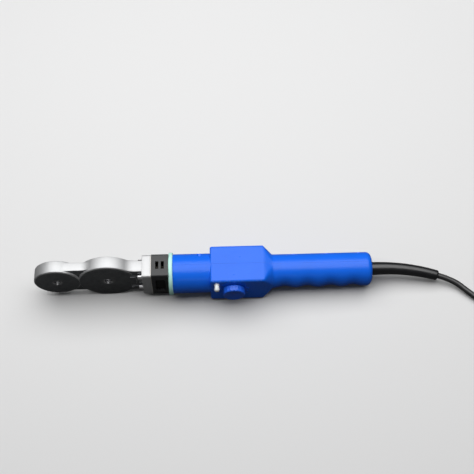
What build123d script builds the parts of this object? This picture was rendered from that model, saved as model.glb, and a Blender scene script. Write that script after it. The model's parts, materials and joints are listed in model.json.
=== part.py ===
from build123d import *
import math
import os

# Pipe fusion welder: a two-lobed heating plate on a moulded grip with a mains lead.
# Millimetres. The tool is drawn level: X from the tip of the plate to the end of the grip,
# the knob faces -Y and the axis is y = z = 0. It is then seated on the ground as it lies.

# Fits between pieces
FIT = 0.1  # gap round a piece in its pocket or hole
RUN = 0.05  # radial gap of a turning shaft, a heater in its bore or a screw in its pilot hole
PRESS = 0.02  # radial gap of a piece that is pushed on and stays
SEAM = 0.1  # each shell stops this far from the middle plane
CUT = 1.0  # how far a cutting shape runs past the face that it cuts
FAR = 60.0  # beyond every outside face of the tool

# Whole tool
TOOL_L = 380.0  # from the tip of the plate to the end of the grip

# Heating plate
LOBE_T = 14.0
PAD_RISE = 0.3  # the machined pads stand proud of the casting
PAD_EDGE = 1.2  # from the edge of a lobe in to its pad
WEB_T = 10.0
TIP_R = 26.0
BIG_R = 33.0
BORE_PITCH = 57.0
DIE_BORE_R = 4.25
WAIST_HALF = 22.0
BLEND_R = 18.0
RIM_R = 0.8
NECK_L = 39.0
FLANGE_T = 9.6
FLANGE_Y = 28.0
FLANGE_Z = 44.0
FLANGE_CORNER_R = 2.5
GROOVE_R = 4.2
GROOVE_L = 14.0

# Heaters and sensor in the plate
HEATER_R = 3.25
HEATER_L = 94.0
HEATER_Z = 14.0
HEATER_INSET = 0.6
SENSOR_R = 1.6
SENSOR_L = 31.0

# Joint between plate and housing
SHIELD_T = 0.8
COLLAR_L = 19.2
COLLAR_Y = 28.0
COLLAR_Z = 46.0
COLLAR_WALL = 2.8
COLLAR_CORNER_R = 2.0
COLLAR_INNER_R = 1.0
VENT_W = 3.3
VENT_L = 9.0
VENT_X = (6.5, 12.7)
WINDOW_W = 11.0
WINDOW_H = 26.0
WINDOW_R = 3.0
RING_T = 4.4
RING_R = 24.0
MOUTH_R = 17.8
LIP_T = 4.0
DISC_T = 3.0
DISC_R = 20.4
DISC_SLOT_Z = 33.0
DISC_SLOT_Y = 11.0
BOLT_Y = 8.8
BOLT_Z = 12.0
BOLT_R = 2.0
BOLT_HOLE_R = 2.2
BOLT_HEAD_R = 3.5
BOLT_HEAD_H = 4.0
BOLT_SOCKET_R = 1.75
BOLT_SOCKET_D = 2.2
BOLT_END = 1.9  # past the back of the disc
WASHER_R = 4.0
WASHER_T = 0.8

# Housing and grip
NOSE_L = 42.0
NOSE_R = 22.0
NOSE_WALL = 2.8
BOX_L = 59.6
BOX_W = 45.0
BOX_WALL = 2.8
BOX_CORNER_R = 2.6
BOX_INNER_R = 1.2
BOX_END_R = 2.0
TAPER_L = 10.4
TAPER_FLAT = 12.0  # degrees of the grip's circle that a flat of the box runs out to
GRIP_R = 19.0
GRIP_HOLLOW_R = 15.0
RIPPLES = 4
RIPPLE_STEPS = 4  # sections in each ripple
HOLLOW_D = 2.2
HOLLOW_TURN = 62.0  # degrees from straight down to the middle of the hollows, towards the knob
HEEL_L = 8.0
HEEL_FILLET = 6.0
HEEL_WALL = 4.0

# Screws of the housing
BOSS_R = 4.5
SHELL_SCREW_R = 1.5
SHELL_HOLE_R = 1.7
SHELL_HEAD_R = 3.0
SHELL_HEAD_H = 2.6
SHELL_SEAT_Y = 4.0
SHELL_SCREW_END = 8.0
SHELL_RECESS_R = 3.25
NOSE_SCREW = (30.4, 15.2)  # from the front of the nose, and off the axis
BOX_SCREW = (55.0, 15.5)  # from the front of the box, and off the axis
GRIP_SCREW_SHARES = (0.32, 0.83)  # of the way from the start of the grip to the cord clamp
GRIP_SCREW_BACK = 14.0  # of the last one, from the end of the grip
GRIP_SCREW_Z = 10.2

# Controls
KNOB_AT = 26.0  # from the front of the box, as the lens and the pieces on the board are
KNOB_Z = 3.0
KNOB_R = 12.6
KNOB_H = 7.5
KNOB_GAP = 0.5
KNOB_TAPER = 2.0
KNOB_EDGE_R = 1.2
KNOB_SKIRT_R = 0.5
POINTER_W = 1.6
POINTER_D = 0.7
POINTER_IN = 4.0
POINTER_OUT = 11.0
SPINDLE_R = 3.0
SPINDLE_L = 17.8
SPINDLE_END = 5.8  # how far it goes into the knob
BUSHING_R = 3.6
POT_W = 16.0
POT_H = 7.0
LENS_AT = 7.0
LENS_Z = 15.2
LENS_STEM_R = 2.5
LENS_HEAD_R = 3.0
LENS_BARB_R = 2.75
LENS_BARB_L = 1.0
LENS_OUT = 8.5
LENS_IN = 6.5
LED_R = 1.5
LED_L = 5.7

# Control board
BOARD_AT = 3.5
BOARD_L = 46.5
BOARD_SIDE_GAP = 1.2  # from its long edges to the wall of the box
BOARD_T = 1.6
BOARD_DEPTH = 12.7  # from the outside of the box to its front face
BOARD_BOSS_R = 3.0
BOARD_SCREW_R = 1.25
BOARD_HOLE_R = 1.5
BOARD_HEAD_R = 2.5
BOARD_HEAD_H = 1.6
BOARD_SCREW_L = 7.0
BOARD_SCREWS_AT = ((7.0, -13.0), (47.0, 13.0), (47.0, -13.0))
BLOCK_AT = 11.0
BLOCK_L = 8.0
BLOCK_H = 10.0
BLOCK_POLE = 3.6
BLOCK_POLES = 6
RELAY_AT = 22.0
RELAY_L = 16.0
RELAY_H = 14.0
RELAY_Z0 = -6.0
RELAY_Z1 = 9.0
CAPACITOR_AT = 30.0
CAPACITOR_Z = -11.5
CAPACITOR_R = 4.0
CAPACITOR_H = 12.0
INLET_AT = 42.0
INLET_L = 8.0
INLET_H = 9.0
INLET_HALF = 7.0

# Wiring
LEAD_R = 0.9
LEAD_Y = 1.7  # the two leads of a heater, each side of its axis
LEAD_BEND = 5.0
LEAD_TURN = 9.4  # from the front of the nose
LEAD_LOW = 21.4
LEAD_ROW = 5.2  # above the back of the board
SENSOR_LEAD_R = 1.0
EARTH_Y = 12.0
EARTH_SCREW_R = 1.5
EARTH_HEAD_R = 2.8
EARTH_HEAD_H = 2.0
EARTH_TAG_T = 1.0
EARTH_TAG_HALF = 3.2
EARTH_TAG_REACH = 8.5
EARTH_LEAD_Z = -6.5
CORE_R = 1.0
CORE_PITCH = 2.1
INLET_PITCH = 4.0
SHEATH_BACK = 42.0  # from the end of the grip in to where the sheath stops
CORE_SPREAD = 0.3  # share of the way to the box where the cores start to fan out

# Cord clamp inside the grip
CLAMP_BACK = 37.0  # from the end of the grip
CLAMP_L = 8.0
CLAMP_T = 2.4
CLAMP_FOOT = 13.0
CLAMP_SCREW_Z = 9.0
CLAMP_SCREW_R = 1.4
CLAMP_HEAD_R = 2.5
CLAMP_HEAD_H = 1.8
CLAMP_SCREW_END = 7.0
RIB_HALF = 14.0

# Cord and its sleeve
CORD_R = 3.25
SLEEVE_R = 7.5
SLEEVE_TIP_R = 5.8
SLEEVE_STRAIGHT = 10.0
SLEEVE_L = 77.0
SLEEVE_BEND_R = 225.0
SLEEVE_ROLL = 24.0  # degrees below -Y that the sleeve bends towards
SLEEVE_FLANGE_R = 9.5
SLEEVE_FLANGE_T = 3.0
SLEEVE_STEPS = 8
SLEEVE_BORE = 0.1

# Free stretch of the cord: past the end of the grip, to the side, and above the ground
FREE_FIRST_RUN = 18.0
FREE_POINTS = ((108.5, -28.6, 5.4), (124.5, -42.6, 4.35), (145.0, -50.5, 4.35), (169.0, -50.5, 4.35))

# Coil of the rest of the cord
COIL_GAP = 0.6
COIL_INNER_R = 27.5
COIL_LAYER_TURNS = 3
COIL_LAYERS = 4
COIL_STRAIGHT = 6.5
TIE_T = 0.8
TIE_GAP = 0.3
TIE_W = 12.0
TIE_R = 1.5

# Plug
PLUG_R = 18.2
PLUG_NECK_R = 6.2
PLUG_RELIEF_R = 4.6
PLUG_RELIEF_L = 12.0
PLUG_SHOULDER_L = 9.0
PLUG_SHOULDER_R = 15.5
PLUG_WAIST_L = 12.0
PLUG_RIM_L = 12.0
PLUG_EDGE_R = 1.0
PIN_R = 2.4
PIN_L = 19.0
PIN_IN = 9.0
PIN_ROOT_R = 2.0
PIN_PITCH = 19.0
PIN_TIP_R = 1.6
STRIP_W = 5.0
STRIP_T = 0.9
STRIP_NOTCH = 2.2
LEAD_RISE = ((24.0, 0.0, 0.0), (41.0, 6.0, -3.5))
LEAD_LEVEL_L = 15.0  # straight and level into the plug
PLUG_OFF = (72.0, 12.0)  # back of the plug past the coil's centre, and off its last turn

# Stations along the tool
TIP_X = TIP_R
BIG_X = TIP_X + BORE_PITCH
FLANGE_X = BIG_X + NECK_L
SHIELD_X = FLANGE_X + FLANGE_T
COLLAR_X = SHIELD_X + SHIELD_T
RING_X = COLLAR_X + COLLAR_L
SHELL_X = RING_X + RING_T
DISC_X = SHELL_X + LIP_T
DISC_BACK_X = DISC_X + DISC_T
BOX_X = SHELL_X + NOSE_L
TAPER_X = BOX_X + BOX_L
GRIP_X = TAPER_X + TAPER_L
END_X = TIP_X - TIP_R + TOOL_L
HEEL_X = END_X - HEEL_L
RIPPLE_PITCH = (HEEL_X - GRIP_X) / RIPPLES
HEATER_END_X = SHIELD_X - HEATER_INSET
BOLT_HEAD_X = FLANGE_X - WASHER_T
BOX_HALF = BOX_W / 2
PAD_Y = LOBE_T / 2 + PAD_RISE
KNOB_X = BOX_X + KNOB_AT
LENS_X = BOX_X + LENS_AT
BOARD_X = BOX_X + BOARD_AT
BOARD_Z = BOX_W - 2 * (BOX_WALL + BOARD_SIDE_GAP)
BOARD_SCREWS =[(BOX_X + x, z) for x, z in BOARD_SCREWS_AT]
BLOCK_X = BOX_X + BLOCK_AT
RELAY_X = BOX_X + RELAY_AT
CAPACITOR_X = BOX_X + CAPACITOR_AT
INLET_X = BOX_X + INLET_AT
LEAD_TURN_X = SHELL_X + LEAD_TURN
LEAD_LOW_X = SHELL_X + LEAD_LOW
LEAD_FAN_X = BOX_X
SHEATH_X = END_X - SHEATH_BACK
CLAMP_X = END_X - CLAMP_BACK
CORE_TURN_X = (SHEATH_X - CORE_SPREAD * (SHEATH_X - GRIP_X), GRIP_X)
HOLLOW_X = BOX_X + BOX_WALL
HOLLOW_END_X = END_X - HEEL_WALL
BOARD_Y = BOX_HALF - BOARD_DEPTH
BOARD_BACK = -BOARD_Y + BOARD_T
LEAD_ROW_Y = BOARD_BACK + LEAD_ROW
KNOB_Y = -(BOX_HALF + KNOB_GAP)
KNOB_FACE_Y = KNOB_Y - KNOB_H
BOLTS = [(y, z) for y in (-BOLT_Y, BOLT_Y) for z in (-BOLT_Z, BOLT_Z)]
SHELL_SCREWS = [(SHELL_X + NOSE_SCREW[0], z) for z in (-NOSE_SCREW[1], NOSE_SCREW[1])]
SHELL_SCREWS += [(BOX_X + BOX_SCREW[0], z) for z in (-BOX_SCREW[1], BOX_SCREW[1])]
SHELL_SCREWS += [(GRIP_X + share * (CLAMP_X - GRIP_X), GRIP_SCREW_Z) for share in GRIP_SCREW_SHARES]
SHELL_SCREWS += [(END_X - GRIP_SCREW_BACK, GRIP_SCREW_Z)]

# Seat: the big lobe's edge and the heel of the grip both meet the ground
HEEL_DX = END_X - HEEL_FILLET - BIG_X
HEEL_DZ = GRIP_R - HEEL_FILLET
TILT = math.asin((BIG_R - HEEL_FILLET) / math.hypot(HEEL_DX, HEEL_DZ)) - math.atan2(HEEL_DZ, HEEL_DX)
SIN_T = math.sin(TILT)
COS_T = math.cos(TILT)
LEFT = TIP_X * COS_T - TIP_R
RIGHT = (END_X - HEEL_FILLET) * COS_T + HEEL_DZ * SIN_T + HEEL_FILLET
MIDDLE_Y = (KNOB_FACE_Y + BOX_HALF) / 2
SEAT_SHIFT = (-(LEFT + RIGHT) / 2, -MIDDLE_Y, BIG_R + BIG_X * SIN_T)
SEAT = Location(SEAT_SHIFT, (0, math.degrees(TILT), 0))


def rod(x0, x1, r, y=0.0, z=0.0):
    """Cylinder along X."""
    return extrude(Plane((x0, y, z), x_dir=(0, 1, 0), z_dir=(1, 0, 0)) * Circle(r), x1 - x0)


def post(x, z, r, y0, y1):
    """Cylinder along Y."""
    return extrude(Plane((x, y0, z), x_dir=(1, 0, 0), z_dir=(0, 1, 0)) * Circle(r), y1 - y0)


def block(x0, x1, y0, y1, z0, z1):
    """Box between two corners."""
    return Pos((x0 + x1) / 2, (y0 + y1) / 2, (z0 + z1) / 2) * Box(x1 - x0, y1 - y0, z1 - z0)


def slab(x0, x1, sketch):
    """Sketch across the tool's axis, carried along X."""
    return extrude(Plane.YZ.offset(x0) * sketch, x1 - x0)


def group(pieces):
    """Several solids of one node."""
    return Compound([solid for piece in pieces for solid in piece.solids()])


def tube(path, r):
    """Round cord along a path."""
    start = Plane(path @ 0, z_dir=path % 0)
    return sweep(start * Circle(r), path=path)


def lead(points, r):
    """Wire that turns with one small radius."""
    return tube(FilletPolyline(*points, radius=LEAD_BEND), r)


def bend_radii(points, name):
    """Widest even radius that each corner of a cord has room for."""
    radii = []
    for a, b, c in zip(points, points[1:], points[2:]):
        run_in = Vector(*b) - Vector(*a)
        run_out = Vector(*c) - Vector(*b)
        turn = math.radians(run_in.get_angle(run_out))
        radii.append(0.45 * min(run_in.length, run_out.length) / math.tan(turn / 2))
    print(name, "bend radii", [round(r, 1) for r in radii])
    return radii


def heating_plate():
    """Casting with two lobes, a neck and the flange at its root."""
    tip = Pos(TIP_X, 0) * Circle(TIP_R)
    big = Pos(BIG_X, 0) * Circle(BIG_R)
    bar = Pos((TIP_X + FLANGE_X) / 2, 0) * Rectangle(FLANGE_X - TIP_X, 2 * WAIST_HALF)
    outline = tip + big + bar
    corners = outline.vertices().filter_by(lambda v: TIP_X < v.X < FLANGE_X - CUT)
    outline = fillet(corners, BLEND_R)
    plate = extrude(Plane.XZ * outline, LOBE_T / 2, both=True)
    rims = plate.edges().filter_by(
        lambda e: abs(abs(e.center().Y) - LOBE_T / 2) < RUN and e.center().X < FLANGE_X - CUT
    )
    plate = fillet(rims, RIM_R)
    between = Pos((TIP_X + BIG_X) / 2, 0) * Rectangle(BORE_PITCH, 3 * BIG_R) - tip - big
    plate -= extrude(Plane.XZ.offset(WEB_T / 2) * between, LOBE_T)
    plate -= extrude(Plane.XZ.offset(-WEB_T / 2) * between, -LOBE_T)
    for x, r in ((TIP_X, TIP_R), (BIG_X, BIG_R)):
        plate += post(x, 0, r - PAD_EDGE, -PAD_Y, PAD_Y)
    for y, z in BOLTS:
        plate -= rod(FLANGE_X - GROOVE_L, FLANGE_X, GROOVE_R, y, z)
    plate += slab(FLANGE_X, SHIELD_X, RectangleRounded(FLANGE_Y, FLANGE_Z, FLANGE_CORNER_R))
    for y, z in BOLTS:
        plate -= rod(FLANGE_X - CUT, SHIELD_X + CUT, BOLT_HOLE_R, y, z)
    for z in (-HEATER_Z, HEATER_Z):
        plate -= rod(HEATER_END_X - HEATER_L, SHIELD_X + CUT, HEATER_R + RUN, 0, z)
    plate -= rod(HEATER_END_X - SENSOR_L, SHIELD_X + CUT, SENSOR_R + RUN)
    for x in (TIP_X, BIG_X):
        plate -= post(x, 0, DIE_BORE_R, -FAR, FAR)
    return plate


def heater_cartridges():
    return group([rod(HEATER_END_X - HEATER_L, HEATER_END_X, HEATER_R, 0, z) for z in (-HEATER_Z, HEATER_Z)])


def temperature_sensor():
    return rod(HEATER_END_X - SENSOR_L, HEATER_END_X, SENSOR_R)


def heat_shield():
    sheet = slab(SHIELD_X, COLLAR_X, RectangleRounded(FLANGE_Y, FLANGE_Z, FLANGE_CORNER_R))
    for y, z in BOLTS:
        sheet -= rod(SHIELD_X - CUT, COLLAR_X + CUT, BOLT_HOLE_R, y, z)
    for z in (-HEATER_Z, HEATER_Z):
        sheet -= rod(SHIELD_X - CUT, COLLAR_X + CUT, HEATER_R + RUN, 0, z)
    return sheet - rod(SHIELD_X - CUT, COLLAR_X + CUT, SENSOR_R + RUN)


def flange_screws():
    screws = []
    for y, z in BOLTS:
        head = rod(BOLT_HEAD_X - BOLT_HEAD_H, BOLT_HEAD_X, BOLT_HEAD_R, y, z)
        socket = Plane((BOLT_HEAD_X - BOLT_HEAD_H, y, z), x_dir=(0, 1, 0), z_dir=(1, 0, 0))
        head -= extrude(socket * RegularPolygon(BOLT_SOCKET_R, 6), BOLT_SOCKET_D)
        screws.append(head + rod(BOLT_HEAD_X, DISC_BACK_X + BOLT_END, BOLT_R, y, z))
    return group(screws)


def flange_washers():
    rings = []
    for y, z in BOLTS:
        ring = rod(BOLT_HEAD_X, FLANGE_X, WASHER_R, y, z)
        rings.append(ring - rod(BOLT_HEAD_X - CUT, FLANGE_X + CUT, BOLT_HOLE_R, y, z))
    return group(rings)


def vented_collar():
    inner = RectangleRounded(COLLAR_Y - 2 * COLLAR_WALL, COLLAR_Z - 2 * COLLAR_WALL, COLLAR_INNER_R)
    collar = slab(COLLAR_X, RING_X, RectangleRounded(COLLAR_Y, COLLAR_Z, COLLAR_CORNER_R) - inner)
    for x in VENT_X:
        mid = COLLAR_X + x
        collar -= block(mid - VENT_W / 2, mid + VENT_W / 2, -VENT_L / 2, VENT_L / 2, -FAR, FAR)
    window = Plane.XZ * (Pos((COLLAR_X + RING_X) / 2, 0) * RectangleRounded(WINDOW_W, WINDOW_H, WINDOW_R))
    return collar - extrude(window, FAR, both=True)


def insulating_ring():
    return slab(RING_X, SHELL_X, Circle(RING_R) - Circle(MOUTH_R))


def mounting_disc():
    disc = slab(DISC_X, DISC_BACK_X, Circle(DISC_R) - Rot(0, 0, 90) * SlotOverall(DISC_SLOT_Z, DISC_SLOT_Y))
    for y, z in BOLTS:
        disc -= rod(DISC_X - CUT, DISC_BACK_X + CUT, BOLT_R + RUN, y, z)
    return disc - rod(DISC_X - CUT, DISC_BACK_X + CUT, EARTH_SCREW_R + RUN, EARTH_Y)


def grip_section(x):
    """Round, with finger hollows below and on the knob's side."""
    share = (1 - math.cos(2 * math.pi * (x - GRIP_X) / RIPPLE_PITCH)) / 2
    upper = CenterArc((0, 0), GRIP_R, 0, 180)
    lower = EllipticalCenterArc((0, 0), GRIP_R, GRIP_R - HOLLOW_D * share, 180, arc_size=180)
    return Plane.YZ.offset(x) * (Rot(0, 0, -HOLLOW_TURN) * make_face(upper + lower))


def taper():
    """From the square box to the round grip: the flats run out to points, the corners to cones."""
    half = BOX_HALF - BOX_CORNER_R
    square = []
    circle = []
    for k in range(4):
        turn = Rot(0, 0, 90 * k)
        square.append(turn * Line((BOX_HALF, -half), (BOX_HALF, half)))
        square.append(turn * CenterArc((half, half), BOX_CORNER_R, 0, 90))
        circle.append(turn * CenterArc((0, 0), GRIP_R, -TAPER_FLAT / 2, TAPER_FLAT))
        circle.append(turn * CenterArc((0, 0), GRIP_R, TAPER_FLAT / 2, 90 - TAPER_FLAT))
    big = Plane.YZ.offset(TAPER_X) * make_face(square)
    small = Plane.YZ.offset(GRIP_X) * make_face(circle)
    return loft([big, small], ruled=True)


def outside():
    """Whole outside of the housing and grip."""
    nose = rod(SHELL_X, BOX_X + BOX_WALL, NOSE_R)
    box = slab(BOX_X, TAPER_X, RectangleRounded(BOX_W, BOX_W, BOX_CORNER_R))
    box = fillet(box.faces().sort_by(Axis.X)[0].edges(), BOX_END_R)
    steps = RIPPLES * RIPPLE_STEPS
    grip = loft([grip_section(GRIP_X + k * RIPPLE_PITCH / RIPPLE_STEPS) for k in range(steps + 1)])
    heel = rod(HEEL_X, END_X, GRIP_R)
    heel = fillet(heel.edges().sort_by(Axis.X)[-1], HEEL_FILLET)
    return nose + box + taper() + grip + heel


def inside():
    """Hollow of the housing, less the bosses and the rib that stand in it."""
    room = rod(SHELL_X - CUT, DISC_X + CUT, MOUTH_R)
    room += rod(DISC_X, DISC_BACK_X, DISC_R + FIT)
    room += rod(DISC_BACK_X - CUT, HOLLOW_X + CUT, NOSE_R - NOSE_WALL)
    inner = BOX_W - 2 * BOX_WALL
    room += slab(HOLLOW_X, TAPER_X - BOX_WALL, RectangleRounded(inner, inner, BOX_INNER_R))
    room += rod(TAPER_X - BOX_WALL - CUT, HOLLOW_END_X, GRIP_HOLLOW_R)
    for x, z in SHELL_SCREWS:
        room -= post(x, z, BOSS_R, -FAR, FAR)
    for x, z in BOARD_SCREWS:
        room -= post(x, z, BOARD_BOSS_R, -FAR, -BOARD_Y)
    room -= block(CLAMP_X, CLAMP_X + CLAMP_L, -FAR, -SEAM, -RIB_HALF, RIB_HALF)
    return room


def shells():
    """Front and rear half of the housing."""
    whole = outside() - inside()
    whole -= rod(HOLLOW_END_X - CUT, END_X + CUT, SLEEVE_R + FIT)
    whole -= rod(CLAMP_X - CUT, CLAMP_X + CLAMP_L + CUT, CORD_R + RUN)
    front = whole & block(-FAR, END_X + FAR, -FAR, -SEAM, -FAR, FAR)
    rear = whole & block(-FAR, END_X + FAR, SEAM, FAR, -FAR, FAR)
    for x, z in SHELL_SCREWS:
        front -= post(x, z, SHELL_SCREW_R + RUN, -SHELL_SCREW_END - CUT, CUT)
        rear -= post(x, z, SHELL_HOLE_R, -CUT, FAR)
        rear -= post(x, z, SHELL_RECESS_R, SHELL_SEAT_Y, FAR)
    for x, z in BOARD_SCREWS:
        front -= post(x, z, BOARD_SCREW_R + RUN, BOARD_BACK - BOARD_SCREW_L - CUT, CUT - BOARD_Y)
    for z in (-CLAMP_SCREW_Z, CLAMP_SCREW_Z):
        front -= post(CLAMP_X + CLAMP_L / 2, z, CLAMP_SCREW_R + RUN, -CLAMP_SCREW_END - CUT, CUT)
    front -= post(KNOB_X, KNOB_Z, BUSHING_R + FIT, -FAR, -BOARD_Y)
    front -= post(LENS_X, LENS_Z, LENS_STEM_R + FIT, -FAR, -BOARD_Y)
    return front, rear


def shell_screws():
    screws = []
    for x, z in SHELL_SCREWS:
        head = post(x, z, SHELL_HEAD_R, SHELL_SEAT_Y, SHELL_SEAT_Y + SHELL_HEAD_H)
        half = SHELL_HEAD_R * 0.62
        wide = SHELL_HEAD_R * 0.14
        top = SHELL_SEAT_Y + SHELL_HEAD_H
        head -= block(x - half, x + half, top - CUT, top + CUT, z - wide, z + wide)
        head -= block(x - wide, x + wide, top - CUT, top + CUT, z - half, z + half)
        screws.append(head + post(x, z, SHELL_SCREW_R, -SHELL_SCREW_END, SHELL_SEAT_Y))
    return group(screws)


def control_board():
    board = block(BOARD_X, BOARD_X + BOARD_L, -BOARD_Y, BOARD_BACK, -BOARD_Z / 2, BOARD_Z / 2)
    for x, z in BOARD_SCREWS:
        board -= post(x, z, BOARD_HOLE_R, -BOARD_Y - CUT, BOARD_BACK + CUT)
    return board


def board_screws():
    screws = []
    for x, z in BOARD_SCREWS:
        shank = post(x, z, BOARD_SCREW_R, BOARD_BACK - BOARD_SCREW_L, BOARD_BACK)
        screws.append(shank + post(x, z, BOARD_HEAD_R, BOARD_BACK, BOARD_BACK + BOARD_HEAD_H))
    return group(screws)


def potentiometer():
    half = POT_W / 2
    front = -BOARD_Y - POT_H
    body = block(KNOB_X - half, KNOB_X + half, front, -BOARD_Y, KNOB_Z - half, KNOB_Z + half)
    body += post(KNOB_X, KNOB_Z, BUSHING_R, -BOX_HALF, front)
    return body - post(KNOB_X, KNOB_Z, SPINDLE_R + RUN, -FAR, KNOB_Y - SPINDLE_END + SPINDLE_L + RUN)


def knob_spindle():
    return post(KNOB_X, KNOB_Z, SPINDLE_R, KNOB_Y - SPINDLE_END, KNOB_Y - SPINDLE_END + SPINDLE_L)


def temperature_knob():
    base = Plane((KNOB_X, KNOB_Y, KNOB_Z), x_dir=(1, 0, 0), z_dir=(0, -1, 0))
    knob = extrude(base * Circle(KNOB_R), KNOB_H, taper=KNOB_TAPER)
    rims = knob.edges().filter_by(GeomType.CIRCLE).sort_by(Axis.Y)
    knob = fillet(rims[0], KNOB_EDGE_R)
    rims = knob.edges().filter_by(GeomType.CIRCLE).sort_by(Axis.Y)
    knob = fillet(rims[-1], KNOB_SKIRT_R)
    knob -= post(KNOB_X, KNOB_Z, SPINDLE_R + PRESS, KNOB_Y - SPINDLE_END - RUN, FAR)
    half = POINTER_W / 2
    face = KNOB_FACE_Y
    notch = block(KNOB_X - half, KNOB_X + half, face - CUT, face + POINTER_D, POINTER_IN, POINTER_OUT)
    return knob - Pos(0, 0, KNOB_Z) * notch


def indicator_lens():
    """Lens pushed in from the front and held by a barb behind the wall."""
    face = BOX_HALF
    wall = BOX_HALF - BOX_WALL
    back = BOX_HALF - LENS_IN
    top = BOX_HALF + LENS_OUT
    dome = CenterArc((0, top - LENS_HEAD_R), LENS_HEAD_R, 0, 90)
    edge = Polyline(
        (0, top), (0, back), (LENS_STEM_R, back), (LENS_STEM_R, wall - FIT - LENS_BARB_L),
        (LENS_BARB_R, wall - FIT - LENS_BARB_L / 2), (LENS_BARB_R, wall - FIT), (LENS_STEM_R, wall - FIT),
        (LENS_STEM_R, face), (LENS_HEAD_R, face), (LENS_HEAD_R, top - LENS_HEAD_R),
    )
    lens = revolve(make_face(edge + dome), Axis.Y)
    return Pos(LENS_X, 0, LENS_Z) * (Rot(180, 0, 0) * lens)


def indicator_led():
    led = post(LENS_X, LENS_Z, LED_R, -BOARD_Y - LED_L, -BOARD_Y)
    return fillet(led.edges().sort_by(Axis.Y)[0], LED_R * 0.8)


def power_relay():
    return block(RELAY_X, RELAY_X + RELAY_L, BOARD_BACK, BOARD_BACK + RELAY_H, RELAY_Z0, RELAY_Z1)


def filter_capacitor():
    can = post(CAPACITOR_X, CAPACITOR_Z, CAPACITOR_R, BOARD_BACK, BOARD_BACK + CAPACITOR_H)
    return fillet(can.edges().sort_by(Axis.Y)[-1], RIM_R)


def pole_z(k):
    """Height of a way of the terminal block, counted from the top."""
    return BLOCK_POLE * ((BLOCK_POLES - 1) / 2 - k)


def terminal_block():
    half = BLOCK_POLE * BLOCK_POLES / 2
    body = block(BLOCK_X, BLOCK_X + BLOCK_L, BOARD_BACK, BOARD_BACK + BLOCK_H, -half, half)
    for k in range(BLOCK_POLES):
        top = BOARD_BACK + BLOCK_H
        body -= post(BLOCK_X + BLOCK_L / 2, pole_z(k), BLOCK_POLE / 3, top - CUT, top + CUT)
    return body


def mains_terminal():
    body = block(INLET_X, INLET_X + INLET_L, BOARD_BACK, BOARD_BACK + INLET_H, -INLET_HALF, INLET_HALF)
    for k in (-1, 0, 1):
        top = BOARD_BACK + INLET_H
        body -= post(INLET_X + INLET_L / 2, k * INLET_PITCH, INLET_PITCH / 3, top - CUT, top + CUT)
    return body


def heater_leads():
    ways = ((1, 1, 0), (-1, 1, 1), (-1, -1, 4), (1, -1, 5))
    leads = []
    for side, height, way in ways:
        y = side * LEAD_Y
        z = height * HEATER_Z
        end = pole_z(way)
        points = [(HEATER_END_X, y, z), (LEAD_TURN_X, y, z), (LEAD_LOW_X, y - LEAD_Y, end)]
        points += [(LEAD_FAN_X, LEAD_ROW_Y, end), (BLOCK_X, LEAD_ROW_Y, end)]
        leads.append(lead(points, LEAD_R))
    return group(leads)


def sensor_lead():
    end = pole_z(2)
    points = [(HEATER_END_X, 0, 0), (LEAD_LOW_X, 0, 0), (LEAD_FAN_X, LEAD_ROW_Y, end), (BLOCK_X, LEAD_ROW_Y, end)]
    return lead(points, SENSOR_LEAD_R)


def earth_lead():
    """Tag under the earth screw, with its lead to the terminal block."""
    back = DISC_BACK_X + EARTH_TAG_T
    low = EARTH_Y - EARTH_TAG_HALF
    high = EARTH_Y + EARTH_TAG_HALF
    tag = block(DISC_BACK_X, back, low, high, -EARTH_TAG_REACH, EARTH_TAG_HALF)
    tag -= rod(DISC_BACK_X - CUT, back + CUT, EARTH_SCREW_R + FIT, EARTH_Y)
    end = pole_z(3)
    points = [(back - EARTH_TAG_T / 2, EARTH_Y, EARTH_LEAD_Z), (LEAD_LOW_X, EARTH_Y, EARTH_LEAD_Z)]
    points += [(LEAD_FAN_X, LEAD_ROW_Y, end), (BLOCK_X, LEAD_ROW_Y, end)]
    return tag + lead(points, LEAD_R)


def earth_screw():
    back = DISC_BACK_X + EARTH_TAG_T
    shank = rod(DISC_X, back, EARTH_SCREW_R, EARTH_Y)
    return shank + rod(back, back + EARTH_HEAD_H, EARTH_HEAD_R, EARTH_Y)


def cord_clamp():
    """Saddle that presses the cord into the rib of the front shell."""
    back = CLAMP_X + CLAMP_L
    foot = block(CLAMP_X, back, -SEAM, CLAMP_T - SEAM, -CLAMP_FOOT, CLAMP_FOOT)
    hump = rod(CLAMP_X, back, CORD_R + RUN + CLAMP_T) & block(-FAR, END_X, -SEAM, FAR, -FAR, FAR)
    saddle = foot + hump - rod(CLAMP_X - CUT, back + CUT, CORD_R + RUN)
    for z in (-CLAMP_SCREW_Z, CLAMP_SCREW_Z):
        saddle -= post(CLAMP_X + CLAMP_L / 2, z, CLAMP_SCREW_R + FIT, -FAR, FAR)
    return saddle


def clamp_screws():
    screws = []
    top = CLAMP_T - SEAM
    for z in (-CLAMP_SCREW_Z, CLAMP_SCREW_Z):
        shank = post(CLAMP_X + CLAMP_L / 2, z, CLAMP_SCREW_R, -CLAMP_SCREW_END, top)
        screws.append(shank + post(CLAMP_X + CLAMP_L / 2, z, CLAMP_HEAD_R, top, top + CLAMP_HEAD_H))
    return group(screws)


def cord_cores():
    cores = []
    back = INLET_X + INLET_L
    for k in (-1, 0, 1):
        z = k * CORE_PITCH
        end = k * INLET_PITCH
        points = [(SHEATH_X, 0, z), (CORE_TURN_X[0], 0, z), (CORE_TURN_X[1], LEAD_ROW_Y, end)]
        cores.append(lead(points + [(back, LEAD_ROW_Y, end)], CORE_R))
    return group(cores)


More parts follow.
